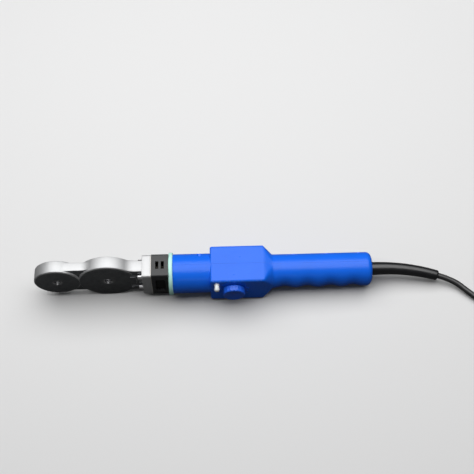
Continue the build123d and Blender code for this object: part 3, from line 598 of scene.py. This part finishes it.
def merged(node):
    """Copy of a CAD node's mesh as one joined surface."""
    bm = bmesh.new()
    bm.from_mesh(NODES[node].data)
    bmesh.ops.remove_doubles(bm, verts=bm.verts, dist=WELD)
    bmesh.ops.dissolve_degenerate(bm, edges=bm.edges, dist=WELD)
    for face in bm.faces:
        face.material_index = 0
    return bm


def drawn(name, bm, degrees, finishes, node, body="tool"):
    """A piece from its drawn surface, sharp where that turns by more than these degrees."""
    mesh = bpy.data.meshes.new(name)
    bm.to_mesh(mesh)
    bm.free()
    mesh.shade_smooth()
    mesh.set_sharp_from_angle(angle=math.radians(degrees))
    return finished(name, mesh, finishes, node, body)


def eased_copy(name, node, finish, ease):
    """Copy of a CAD node with its sharp edges taken off."""
    bm = merged(node)
    bmesh.ops.dissolve_limit(
        bm, angle_limit=math.radians(FLAT_TURN), verts=bm.verts, edges=bm.edges,
        use_dissolve_boundaries=False,
    )
    piece = drawn(name, bm, SHARP, [finish], node)
    edge = piece.modifiers.new("ease", "BEVEL")
    edge.width = ease * MM
    edge.segments = 2
    edge.limit_method = "ANGLE"
    edge.angle_limit = math.radians(EASE_TURN)
    edge.harden_normals = True
    return piece


def turned(profile, steps, closed=False):
    """Turns a profile of (radius, along) points once round the Y axis."""
    bm = bmesh.new()
    points = [bm.verts.new((r, h, 0.0)) for r, h in profile]
    for first, second in zip(points, points[1:]):
        bm.edges.new((first, second))
    if closed:
        bm.edges.new((points[-1], points[0]))
    bmesh.ops.spin(
        bm, geom=bm.verts[:] + bm.edges[:], cent=(0, 0, 0), axis=(0, 1, 0),
        angle=2 * math.pi, steps=steps, use_merge=True,
    )
    bmesh.ops.remove_doubles(bm, verts=bm.verts, dist=TOUCH)
    bmesh.ops.recalc_face_normals(bm, faces=bm.faces)
    return bm


def along_tool(bm, x):
    """Lays a turned piece along the tool, its Y on the tool's X."""
    bm.transform(SEAT @ Matrix.Translation((x, 0, 0)) @ Matrix.Rotation(-math.pi / 2, 4, "Z"))


def across_tool(bm, x, z):
    """Sets a piece across the tool at a station."""
    bm.transform(SEAT @ Matrix.Translation((x, 0, z)))


def combined(bm, other, operation):
    """One solid from two: what is left of the first, or both together."""
    parts = []
    for name, solid in (("stock", bm), ("other", other)):
        mesh = bpy.data.meshes.new(name)
        solid.to_mesh(mesh)
        solid.free()
        parts.append(bpy.data.objects.new(name, mesh))
        SCENE.collection.objects.link(parts[-1])
    step = parts[0].modifiers.new("step", "BOOLEAN")
    step.operation = operation
    step.solver = "EXACT"
    step.object = parts[1]
    ready = parts[0].evaluated_get(bpy.context.evaluated_depsgraph_get())
    result = bmesh.new()
    mesh = bpy.data.meshes.new_from_object(ready)
    result.from_mesh(mesh)
    bpy.data.meshes.remove(mesh)
    for part in parts:
        bpy.data.meshes.remove(part.data)
    bmesh.ops.remove_doubles(result, verts=result.verts, dist=2 * TOUCH)
    bmesh.ops.dissolve_degenerate(result, edges=result.edges, dist=2 * TOUCH)
    return result


def rod(bm, start, end, radius):
    """Round bar between two points."""
    run = Vector(end) - Vector(start)
    turn = run.to_track_quat("Z", "Y").to_matrix().to_4x4()
    place = Matrix.Translation((Vector(start) + Vector(end)) / 2) @ turn
    bmesh.ops.create_cone(
        bm, cap_ends=True, segments=ROD_STEPS, radius1=radius, radius2=radius,
        depth=run.length, matrix=place,
    )


def lobe(radius):
    """Round lobe of the plate with its bore, rounded rim and the raised pad on each side."""
    pad = LOBE_HALF + PAD_RISE
    inner = radius - PAD_EDGE
    half = [(DIE_BORE_R, pad - BORE_EDGE), (DIE_BORE_R + BORE_EDGE, pad)]
    half += [(inner + PAD_SLOPE[0], pad), (inner + PAD_SLOPE[1], LOBE_HALF)]
    half += [(radius - inward, LOBE_HALF - down) for inward, down in RIM_STEPS]
    return turned(half + [(r, -h) for r, h in reversed(half)], LOBE_STEPS, closed=True)


def arc_on(bm, tip, centre, angle, steps):
    """Carries the end of an outline round a centre in the plate's plane."""
    made = bmesh.ops.spin(
        bm, geom=[tip], cent=(centre[0], 0, centre[1]), axis=(0, 1, 0),
        angle=angle, steps=steps, use_merge=False,
    )
    return [part for part in made["geom_last"] if isinstance(part, bmesh.types.BMVert)][0]


def run_on(bm, tip, x):
    """Carries the end of an outline straight on to a station."""
    made = bmesh.ops.extrude_vert_indiv(bm, verts=[tip])["verts"][0]
    made.co.x = x
    return made


def rounded(bm, edges, radius, steps):
    """Rounds off some edges."""
    bmesh.ops.bevel(
        bm, geom=edges, offset=radius, segments=steps, profile=0.5, affect="EDGES", material=-1
    )


def plate_slab(bm, half, ease):
    """Fills an outline down to its mirror image and gives it its thickness."""
    upper = bm.edges[:]
    made = bmesh.ops.extrude_edge_only(bm, edges=upper)["geom"]
    for part in made:
        if isinstance(part, bmesh.types.BMVert):
            part.co.z = -part.co.z
    bmesh.ops.translate(bm, verts=bm.verts, vec=(0, -half, 0))
    made = bmesh.ops.extrude_face_region(bm, geom=bm.faces[:])["geom"]
    far = [part for part in made if isinstance(part, bmesh.types.BMVert)]
    bmesh.ops.translate(bm, verts=far, vec=(0, 2 * half, 0))
    bmesh.ops.recalc_face_normals(bm, faces=bm.faces)
    rims = [edge for edge in bm.edges if abs(edge.calc_face_angle(0.0)) > RIM_TURN]
    rounded(bm, rims, ease, 3)


def hollow_from(bm, lobe_x, centre, steps):
    """Starts an outline on a lobe's rim, with the hollow that runs out of it."""
    x, z = centre
    lean = math.atan2(x - lobe_x, z)
    tip = bm.verts.new((x - BLEND_R * math.sin(lean), 0, z - BLEND_R * math.cos(lean)))
    return arc_on(bm, tip, centre, -lean, steps)


def web():
    """Thin part between the lobes, hollowed towards the waist."""
    high = WAIST_HALF + BLEND_R
    left = TIP_X + math.sqrt((TIP_R + BLEND_R) ** 2 - high**2)
    right = BIG_X - math.sqrt((BIG_R + BLEND_R) ** 2 - high**2)
    bm = bmesh.new()
    tip = hollow_from(bm, TIP_X, (left, high), TIP_BLEND_STEPS)
    tip = run_on(bm, tip, right)
    arc_on(bm, tip, (right, high), -math.atan2(BIG_X - right, high), BIG_BLEND_STEPS)
    plate_slab(bm, WEB_HALF, WEB_EASE)
    return bm


def neck():
    """Straight part between the big lobe and the flange, with a hollow run out of the lobe."""
    high = NECK_HALF + BLEND_R
    left = BIG_X + math.sqrt((BIG_R + BLEND_R) ** 2 - high**2)
    bm = bmesh.new()
    tip = hollow_from(bm, BIG_X, (left, high), BIG_BLEND_STEPS)
    run_on(bm, tip, FLANGE_X + NECK_RUN_IN)
    plate_slab(bm, LOBE_HALF - NECK_SINK, NECK_EASE)
    return bm


def grooves():
    """Bars that cut the grooves beside the neck."""
    bm = bmesh.new()
    for y in (-BOLT_Y, BOLT_Y):
        for z in (-BOLT_Z, BOLT_Z):
            rod(bm, (GROOVE_X, y, z), (FLANGE_X + GROOVE_RUN_IN, y, z), GROOVE_R)
    return bm


def flange():
    """Square root of the plate, with rounded corners and edges."""
    bm = bmesh.new()
    bmesh.ops.create_cube(bm, size=1.0)
    bmesh.ops.scale(bm, verts=bm.verts, vec=(FLANGE_T, FLANGE_Y, FLANGE_Z))
    corners = [edge for edge in bm.edges if edge.verts[0].co.x * edge.verts[1].co.x < 0]
    rounded(bm, corners, FLANGE_CORNER_R, 8)
    rims = [edge for edge in bm.edges if abs(edge.calc_face_angle(0.0)) > RIM_TURN]
    rounded(bm, rims, FLANGE_EASE, 2)
    bmesh.ops.translate(bm, verts=bm.verts, vec=(FLANGE_X + FLANGE_T / 2, 0, 0))
    return bm


def heating_plate():
    """Casting: two lobes, web, neck with grooves for the screw heads, and the flange at its root."""
    bm = lobe(BIG_R)
    bmesh.ops.translate(bm, verts=bm.verts, vec=(BIG_X, 0, 0))
    bm = combined(combined(bm, neck(), "UNION"), grooves(), "DIFFERENCE")
    tip = lobe(TIP_R)
    bmesh.ops.translate(tip, verts=tip.verts, vec=(TIP_X, 0, 0))
    for solid in (web(), tip, flange()):
        bm = combined(bm, solid, "UNION")
    for face in bm.faces:
        middle = face.calc_center_median()
        in_groove = math.hypot(abs(middle.y) - BOLT_Y, abs(middle.z) - BOLT_Z) < GROOVE_R + NEAR
        in_groove = in_groove and middle.x > GROOVE_X - NEAR
        on_face = abs(face.normal.y) > FACE_SQUARE and abs(middle.y) < FACE_REACH
        dark = middle.x < FLANGE_X - 2 * NEAR and (on_face or in_groove)
        face.material_index = DARK_FACE if dark else CAST_SKIN
        for bore_x in (TIP_X, BIG_X):
            if math.hypot(middle.x - bore_x, middle.z) < DIE_BORE_R + BORE_EDGE:
                face.material_index = BORE_WALL
    bm.transform(SEAT)
    return drawn("heating_plate_casting", bm, SHARP, [CAST, TURNED, SCREW], "heating_plate")


# Spokes of the housing's sections: how many on each flat and corner, and the turn that a flat takes
FLAT_STEPS = 12
CORNER_STEPS = 10
SPOKES = 4 * (FLAT_STEPS + CORNER_STEPS)
BOX_FLAT = 2 * math.atan2(BOX_HALF - BOX_CORNER_R, BOX_HALF)
GRIP_FLAT = math.radians(12.0)


def spoke_turn(k, flat):
    """Angle of a spoke round the housing, where each flat of the box takes that much of the circle."""
    quarter, step = divmod(k, FLAT_STEPS + CORNER_STEPS)
    if step <= FLAT_STEPS:
        turn = flat * (step / FLAT_STEPS - 0.5)
    else:
        turn = flat / 2 + (math.pi / 2 - flat) * (step - FLAT_STEPS) / CORNER_STEPS
    return turn + quarter * math.pi / 2


def round_section(radius, flat):
    turns = [spoke_turn(k, flat) for k in range(SPOKES)]
    return [(radius * math.cos(turn), radius * math.sin(turn)) for turn in turns]


def square_reach(turn, half, corner):
    """How far a rounded square reaches in a direction."""
    c = abs(math.cos(turn))
    s = abs(math.sin(turn))
    middle = half - corner
    if half * min(c, s) <= middle * max(c, s):
        return half / max(c, s)
    along = (c + s) * middle
    return along + math.sqrt(max(0.0, along**2 - 2 * middle**2 + corner**2))


def box_section(inset):
    """Box at its front edge, where it rises out of the nose, and further on."""
    points = []
    for k in range(SPOKES):
        turn = spoke_turn(k, BOX_FLAT)
        reach = square_reach(turn, BOX_HALF - inset, BOX_CORNER_R - inset)
        if inset > 0:
            reach = max(NOSE_R, reach)
        points.append((reach * math.cos(turn), reach * math.sin(turn)))
    return points


def grip_section(x):
    """Round, with the finger hollows below and on the knob's side."""
    share = (1 - math.cos(2 * math.pi * (x - GRIP_X) / HOLLOW_PITCH)) / 2 if GRIP_X < x < HEEL_X else 0.0
    aim = (-math.sin(HOLLOW_TURN), -math.cos(HOLLOW_TURN))
    points = []
    for y, z in round_section(GRIP_R, GRIP_FLAT):
        out = max(0.0, (y * aim[0] + z * aim[1]) / GRIP_R) * HOLLOW_D * share
        points.append((y - aim[0] * out, z - aim[1] * out))
    return points


def taper_section(share):
    pairs = zip(box_section(0.0), round_section(GRIP_R, GRIP_FLAT))
    return [(a[0] + (b[0] - a[0]) * share, a[1] + (b[1] - a[1]) * share) for a, b in pairs]


def housing_sections():
    """Stations of the housing and its section at each, from the nose to the hole for the sleeve."""
    nose = round_section(NOSE_R, BOX_FLAT)
    for along, inset in NOSE_EDGE:
        yield SHELL_X + along, round_section(NOSE_R - inset, BOX_FLAT)
    for x in NOSE_STATIONS + (BOX_X - NOSE_SHORT,):
        yield x, nose
    for turn in BOX_END_TURNS:
        bend = math.radians(turn)
        inset = BOX_END_R * (1 - math.sin(bend))
        yield BOX_X + BOX_END_R * (1 - math.cos(bend)), box_section(inset)
    for x in (BOX_X + BOX_END_R,) + BOX_STATIONS + (TAPER_X - BOX_SHORT,):
        yield x, box_section(0.0)
    long = GRIP_X - TAPER_X
    for share in TAPER_SHARES:
        yield TAPER_X + share * long, taper_section(share)
    long = HEEL_X - GRIP_X
    for k in range(GRIP_STEPS):
        x = GRIP_X + GRIP_START + (long - GRIP_START) * k / GRIP_STEPS
        yield x, grip_section(GRIP_X + long * k / GRIP_STEPS)
    for turn in range(0, 91, 15):
        bend = math.radians(turn)
        radius = GRIP_R - HEEL_FILLET * (1 - math.cos(bend))
        yield END_X - HEEL_FILLET * (1 - math.sin(bend)), round_section(radius, GRIP_FLAT)
    yield END_X, round_section(SLEEVE_HOLE_R, GRIP_FLAT)
    yield END_X - SLEEVE_HOLE_D, round_section(SLEEVE_HOLE_R, GRIP_FLAT)


def first_ring(bm, spokes):
    """Ring of points, each of which keeps the number of its spoke."""
    spoke = bm.verts.layers.int.new("spoke")
    ring = bmesh.ops.create_circle(bm, segments=spokes, radius=1.0)["verts"]
    for k, vert in enumerate(ring):
        vert[spoke] = k
    return ring, spoke


def next_ring(bm, edges):
    """Carries a ring of edges on by one step."""
    made = bmesh.ops.extrude_edge_only(bm, edges=edges)["geom"]
    ring = [part for part in made if isinstance(part, bmesh.types.BMVert)]
    fresh = set(ring)
    rims = [part for part in made if isinstance(part, bmesh.types.BMEdge)]
    return ring, [edge for edge in rims if edge.verts[0] in fresh and edge.verts[1] in fresh]


def housing_skin():
    """Outside of the housing and grip, carried from section to section."""
    bm = bmesh.new()
    ring, spoke = first_ring(bm, SPOKES)
    edges = bm.edges[:]
    for n, (x, section) in enumerate(housing_sections()):
        if n:
            ring, edges = next_ring(bm, edges)
        for vert in ring:
            y, z = section[vert[spoke]]
            vert.co = (x, y, z)
    bmesh.ops.recalc_face_normals(bm, faces=bm.faces)
    return bm


def screw_wells():
    """Cups that the shell's screws sit in, from their seats out to the wall."""
    wells = bmesh.new()
    for x, z in SCREW_HOLES:
        outside = NOSE_R if x < BOX_X else GRIP_R
        reach = math.sqrt((outside - WELL_SHORT) ** 2 - z**2)
        if BOX_X < x < TAPER_X:
            reach = BOX_HALF - WALL / 2
        outer = SCREW_RECESS_R + WELL_WALL
        floor_y = SCREW_SEAT_Y - WELL_WALL
        profile = [
            (SCREW_HOLE_R, floor_y), (outer, floor_y), (outer, reach), (SCREW_RECESS_R, reach),
            (SCREW_RECESS_R, SCREW_SEAT_Y), (SCREW_HOLE_R, SCREW_SEAT_Y),
        ]
        well = turned(profile, ROD_STEPS, closed=True)
        bmesh.ops.translate(well, verts=well.verts, vec=(x, 0, z))
        mesh = bpy.data.meshes.new("well")
        well.to_mesh(mesh)
        well.free()
        wells.from_mesh(mesh)
        bpy.data.meshes.remove(mesh)
    return wells


def shell_half(name, node, side):
    """One half of the housing: cut at the seam, given its wall, then its holes."""
    bm = housing_skin()
    bmesh.ops.bisect_plane(
        bm, geom=bm.verts[:] + bm.edges[:] + bm.faces[:], dist=TOUCH,
        plane_co=(0, side * SEAM, 0), plane_no=(0, -side, 0), clear_outer=True,
    )
    bmesh.ops.solidify(bm, geom=bm.faces[:], thickness=WALL)
    bmesh.ops.recalc_face_normals(bm, faces=bm.faces)
    holes = bmesh.new()
    if side < 0:
        outer, inner = HOLE_REACH
        rod(holes, (KNOB_X, outer, KNOB_Z), (KNOB_X, inner, KNOB_Z), SPINDLE_HOLE_R)
        rod(holes, (LENS_X, outer, LENS_Z), (LENS_X, inner, LENS_Z), LENS_STEM_R + LENS_PLAY)
    else:
        for x, z in SCREW_HOLES:
            rod(holes, (x, SCREW_SEAT_Y, z), (x, RECESS_REACH, z), SCREW_RECESS_R)
    bm = combined(bm, holes, "DIFFERENCE")
    if side > 0:
        bm = combined(bm, screw_wells(), "UNION")
    bm.transform(SEAT)
    return drawn(name, bm, SHARP, [SHELL_BLUE], node)


def collar_shade_sheets():
    """Near-black sheets inside the collar's two windows, between its walls and the screws: painted shade
    that keeps the collar's inside dark.
    """
    bm = bmesh.new()
    for y in (-COLLAR_SHADE_SHEET_Y, COLLAR_SHADE_SHEET_Y):
        made = bmesh.ops.create_cube(bm, size=1.0)["verts"]
        bmesh.ops.scale(bm, verts=made, vec=(COLLAR_SHADE_SHEET_L, COLLAR_SHADE_SHEET_T, COLLAR_SHADE_SHEET_H))
        middle = RING_X - COLLAR_SHADE_SHEET_L / 2 - COLLAR_SHADE_SHEET_BACK
        bmesh.ops.translate(bm, verts=made, vec=(middle, y, 0))
    bm.transform(SEAT)
    return drawn("collar_shade_sheets", bm, SHARP, [SHADE_SHEET_BLACK], None)


def insulating_ring():
    """Flat board ring with its outer edges taken off."""
    profile = [
        (RING_HOLE_R, 0.0), (RING_R - RING_EASE, 0.0), (RING_R, RING_EASE),
        (RING_R, RING_T - RING_EASE), (RING_R - RING_EASE, RING_T), (RING_HOLE_R, RING_T),
    ]
    bm = turned(profile, RING_STEPS, closed=True)
    along_tool(bm, RING_X)
    return drawn("insulating_ring_board", bm, SHARP_BOARD, [LAMINATE], "insulating_ring")


def temperature_knob():
    """Knob with shallow flutes round its side, a dished face and a blind hole for the spindle."""
    face = -KNOB_FACE
    back = -KNOB_BACK
    profile = [
        (0.0, back - KNOB_SOCKET_D), (KNOB_SOCKET_R, back - KNOB_SOCKET_D), (KNOB_SOCKET_R, back),
        (KNOB_R - 0.9, back), (KNOB_R - 0.3, back - 0.2), (KNOB_R, back - 0.8),
        (KNOB_R, back - 1.8), (KNOB_R - 0.15, back - 2.3), (KNOB_R - 0.15, face + 2.2),
        (KNOB_R - 0.45, face + 1.0), (KNOB_R - 1.1, face + 0.25), (KNOB_R - 2.0, face),
        (KNOB_R - 2.8, face + 0.15), (5.0, face + 0.55), (0.0, face + 0.6),
    ]
    bm = turned(profile, KNOB_STEPS)
    for vert in bm.verts:
        if back - 2.2 > vert.co.y > face + 0.6 and math.hypot(vert.co.x, vert.co.z) > KNOB_R - 1.0:
            turn = math.atan2(vert.co.z, vert.co.x)
            flute = (0.5 + 0.5 * math.cos(KNOB_FLUTES * turn)) ** 3
            share = 1.0 - FLUTE_SHARE * flute
            vert.co.x *= share
            vert.co.z *= share
    across_tool(bm, KNOB_X, KNOB_Z)
    name = "temperature_knob_cap"
    return drawn(name, bm, SHARP_TURNED, [KNOB_BLUE], "temperature_knob", "dial")


def knob_pointer():
    """Raised rib on the knob's face, from near the middle to its edge."""
    bm = bmesh.new()
    bmesh.ops.create_cube(bm, size=1.0)
    bmesh.ops.scale(bm, verts=bm.verts, vec=POINTER_SIZE)
    rounded(bm, bm.edges[:], POINTER_EASE, 3)
    bmesh.ops.translate(bm, verts=bm.verts, vec=(0, -KNOB_FACE + POINTER_SIZE[1] / 2, POINTER_OUT))
    across_tool(bm, KNOB_X, KNOB_Z)
    return drawn("knob_pointer_rib", bm, SHARP_TURNED, [KNOB_BLUE], None, "dial")


def dial_marks():
    """Moulded ticks on the housing round the knob."""
    bm = bmesh.new()
    for k in range(TICKS):
        turn = math.radians(-TICK_TURN + 2 * TICK_TURN / (TICKS - 1) * k)
        long = TICK_LONG if k % TICK_LONG_EVERY == 0 else TICK_SHORT
        made = bmesh.ops.create_cube(bm, size=1.0)["verts"]
        bmesh.ops.scale(bm, verts=made, vec=(TICK_W, TICK_T, long))
        bmesh.ops.translate(bm, verts=made, vec=(0, -BOX_HALF - TICK_RISE, TICK_R + long / 2))
        bmesh.ops.rotate(bm, verts=made, cent=(0, 0, 0), matrix=Matrix.Rotation(turn, 3, "Y"))
    rounded(bm, bm.edges[:], TICK_EASE, 2)
    across_tool(bm, KNOB_X, KNOB_Z)
    return drawn("dial_marks", bm, SHARP_TURNED, [SHELL_BLUE], None)


def sleeve_ring(s, radius):
    """Place and directions of the sleeve's section at a length along it, bent to the knob's side."""
    turn = max(0.0, s - SLEEVE_STRAIGHT) / SLEEVE_BEND_R
    aside = Vector((0, -math.cos(SLEEVE_ROLL), -math.sin(SLEEVE_ROLL)))
    ahead = Vector((1, 0, 0))
    middle = Vector((END_X + min(s, SLEEVE_STRAIGHT), 0, 0))
    middle += ahead * SLEEVE_BEND_R * math.sin(turn) + aside * SLEEVE_BEND_R * (1 - math.cos(turn))
    up = (aside * math.cos(turn) - ahead * math.sin(turn)) * radius
    return middle, up, ahead.cross(aside) * radius


def cord_sleeve():
    """Bend protector: drawn along its curve, slightly tapered, with a rounded end."""
    bm = bmesh.new()
    ring, spoke = first_ring(bm, SLEEVE_SPOKES)
    body = SLEEVE_L - SLEEVE_END_R
    stations = [(-SLEEVE_ROOT, SLEEVE_R)]
    for k in range(SLEEVE_STEPS + 1):
        share = k / SLEEVE_STEPS
        stations.append((share * body, SLEEVE_R + (SLEEVE_TIP_R - SLEEVE_R) * share))
    for turn in range(15, 91, 15):
        bend = math.radians(turn)
        radius = SLEEVE_TIP_R - SLEEVE_END_R * (1 - math.cos(bend))
        stations.append((body + SLEEVE_END_R * math.sin(bend), radius))
    for k in range(SLEEVE_BORE_STEPS + 1):
        back = (SLEEVE_L + SLEEVE_ROOT) * k / SLEEVE_BORE_STEPS
        stations.append((SLEEVE_L - back, CORD_R + SLEEVE_BORE))
    first = bm.edges[:]
    edges = first
    for n, (along, radius) in enumerate(stations):
        if n:
            ring, edges = next_ring(bm, edges)
        middle, up, across = sleeve_ring(along, radius)
        for vert in ring:
            turn = 2 * math.pi * vert[spoke] / SLEEVE_SPOKES
            vert.co = middle + up * math.cos(turn) + across * math.sin(turn)
    bmesh.ops.bridge_loops(bm, edges=first + edges)
    bmesh.ops.recalc_face_normals(bm, faces=bm.faces)
    bm.transform(SEAT)
    return drawn("cord_sleeve_moulding", bm, SHARP_TURNED, [SLEEVE], "cord_sleeve")


def flange_screws():
    """Screws of the flange: bright heads, and shanks inside the collar coloured near-black as painted
    shade.
    """
    piece = eased_copy("flange_screw_set", "flange_screws", SCREW, SCREW_EASE)
    piece.data.materials.append(SHANK_SHADE_STEEL)
    level = SEAT.inverted()
    for face in piece.data.polygons:
        # Faces beyond the flange, inside the collar, take the near-black steel: painted shade
        face.material_index = 1 if (level @ face.center).x > FLANGE_X else 0


def indicator_lens():
    """Lens with a stem in the housing, a collar on it and a rounded tip."""
    tip = -LENS_END
    wall = -BOX_HALF
    profile = [
        (0.0, wall + LENS_STEM_D), (LENS_STEM_R, wall + LENS_STEM_D), (LENS_STEM_R, wall + 0.1),
        (LENS_R, wall - 0.1), (LENS_R, wall - 0.8), (2.75, wall - 1.1),
        (2.7, tip + 4.2), (2.95, tip + 3.2), (LENS_R, tip + 2.4), (2.8, tip + 1.4),
        (2.3, tip + 0.6), (1.5, tip + 0.15), (0.0, tip),
    ]
    bm = turned(profile, LENS_STEPS)
    across_tool(bm, LENS_X, LENS_Z)
    return drawn("indicator_lens_cap", bm, SHARP_TURNED, [LENS], "indicator_lens")


# Cord: points of its route, in millimetres on the ground, then the turns of its coil

FREE_ROUTE = (
    (265.206, -5.046, 11.012), (282.291, -9.871, 8.037), (297.978, -24.6, 5.4),
    (313.978, -38.6, 4.35), (334.478, -46.5, 4.35), (358.478, -46.5, 4.35),
)
COIL_START = (364.978, -46.5, 4.35)
COIL_RADII = (38.15, 34.6, 31.05, 27.5, 31.05, 34.6, 38.15, 41.7) * 2
COIL_CLIMBS = (0.0, 0.0, 0.0, 7.1) * 3 + (0.0,) * 4
COIL_STEPS = 8
PLUG_ROUTE = (
    (371.478, -46.5, 25.65), (388.978, -46.5, 25.65), (405.978, -40.5, 22.15),
    (421.978, -34.5, 18.2), (436.978, -34.5, 18.2),
)


def coil_route():
    """Points of the coil's half turns, set out so that the smooth line keeps each turn's radius."""
    at = Vector(COIL_START)
    side = 1.0
    points = []
    for radius, climb in zip(COIL_RADII, COIL_CLIMBS):
        middle = at + Vector((0, side * radius, 0))
        reach = radius / math.cos(math.pi / (2 * COIL_STEPS))
        for k in range(COIL_STEPS):
            turn = math.pi * (k + 0.5) / COIL_STEPS
            along = side * reach * math.sin(turn)
            across = -side * reach * math.cos(turn)
            rise = climb * (1 - math.cos(turn)) / 2
            points.append(middle + Vector((along, across, rise)))
        at = at + Vector((0, side * 2 * radius, climb))
        side = -side
    return [tuple(point) for point in points]


def mains_cord():
    """Cord from the sleeve's mouth through its coil to the plug."""
    data = bpy.data.curves.new("mains_cord_line", "CURVE")
    data.dimensions = "3D"
    spline = data.splines.new("NURBS")
    route = list(FREE_ROUTE) + coil_route() + list(PLUG_ROUTE)
    spline.points.add(len(route) - 1)
    for point, place in zip(spline.points, route):
        point.co = (place[0] * MM, place[1] * MM, place[2] * MM, 1.0)
    spline.order_u = 3
    spline.use_endpoint_u = True
    spline.resolution_u = CORD_STEPS
    data.bevel_depth = CORD_R * MM
    data.bevel_resolution = CORD_SIDES
    data.use_fill_caps = True
    data.materials.append(SHEATH)
    piece = bpy.data.objects.new("mains_cord_line", data)
    SCENE.collection.objects.link(piece)
    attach(piece, "tool")
    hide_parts("mains_cord", "cord_coil", "plug_lead")
    return piece


def floor():
    """Pale ground that mirrors darker than it looks and fades into the backdrop."""
    bm = bmesh.new()
    bmesh.ops.create_grid(bm, x_segments=1, y_segments=1, size=FLOOR_HALF)
    mesh = bpy.data.meshes.new("floor")
    bm.to_mesh(mesh)
    bm.free()
    f = Finish("pale_floor", **{"Roughness": 0.9})
    seen = f.node("ShaderNodeLightPath", {}, {}, "Is Camera Ray")
    x, y, _ = f.axes(f.ground())
    far = f.between(f.root(x * x + y * y), *FLOOR_FADE)
    f.set({
        "Base Color": f.mix(seen, FLOOR_MIRRORED, FLOOR_SEEN),
        "Specular IOR Level": 0.1,
        "Emission Color": f.mix(seen * far, (0, 0, 0, 1), FLOOR_FAR),
        "Emission Strength": 1.0,
    })
    mesh.materials.append(f.material)
    piece = bpy.data.objects.new("floor", mesh)
    SCENE.collection.objects.link(piece)


def surroundings():
    """Pale backdrop that gives little light of its own, and the two lights."""
    world = bpy.data.worlds.new("studio")
    SCENE.world = world
    world.use_nodes = True
    tree = world.node_tree
    back = tree.nodes["Background"]
    back.inputs["Color"].default_value = SKY
    ray = tree.nodes.new("ShaderNodeLightPath")
    level = tree.nodes.new("ShaderNodeMapRange")
    level.inputs["To Min"].default_value = SKY_LIGHT
    level.inputs["To Max"].default_value = SKY_SEEN
    tree.links.new(ray.outputs["Is Camera Ray"], level.inputs["Value"])
    tree.links.new(level.outputs["Result"], back.inputs["Strength"])
    SCENE.view_settings.view_transform = "Standard"
    softbox("key", KEY_PLACE, KEY_AIM, KEY_SIZE, KEY_WATTS)
    softbox("fill", FILL_PLACE, FILL_AIM, FILL_SIZE, FILL_WATTS)


camera()
surroundings()
floor()

for subpart in frame["record"]["subparts"]:
    for shown in NODES[subpart["node"]].material_slots:
        shown.material = SLOT_FINISH[subpart["material_slot"]]

CORD = mains_cord()
heating_plate()
eased_copy("vented_collar_frame", "vented_collar", ENAMEL, COLLAR_EASE)
shell_half("front_shell_moulding", "front_shell", -1)
shell_half("rear_shell_moulding", "rear_shell", 1)
flange_screws()
cord_sleeve()
collar_shade_sheets()
insulating_ring()
temperature_knob()
knob_pointer()
dial_marks()
indicator_lens()

tuple(c * MM for c in FREE_ROUTE[0])
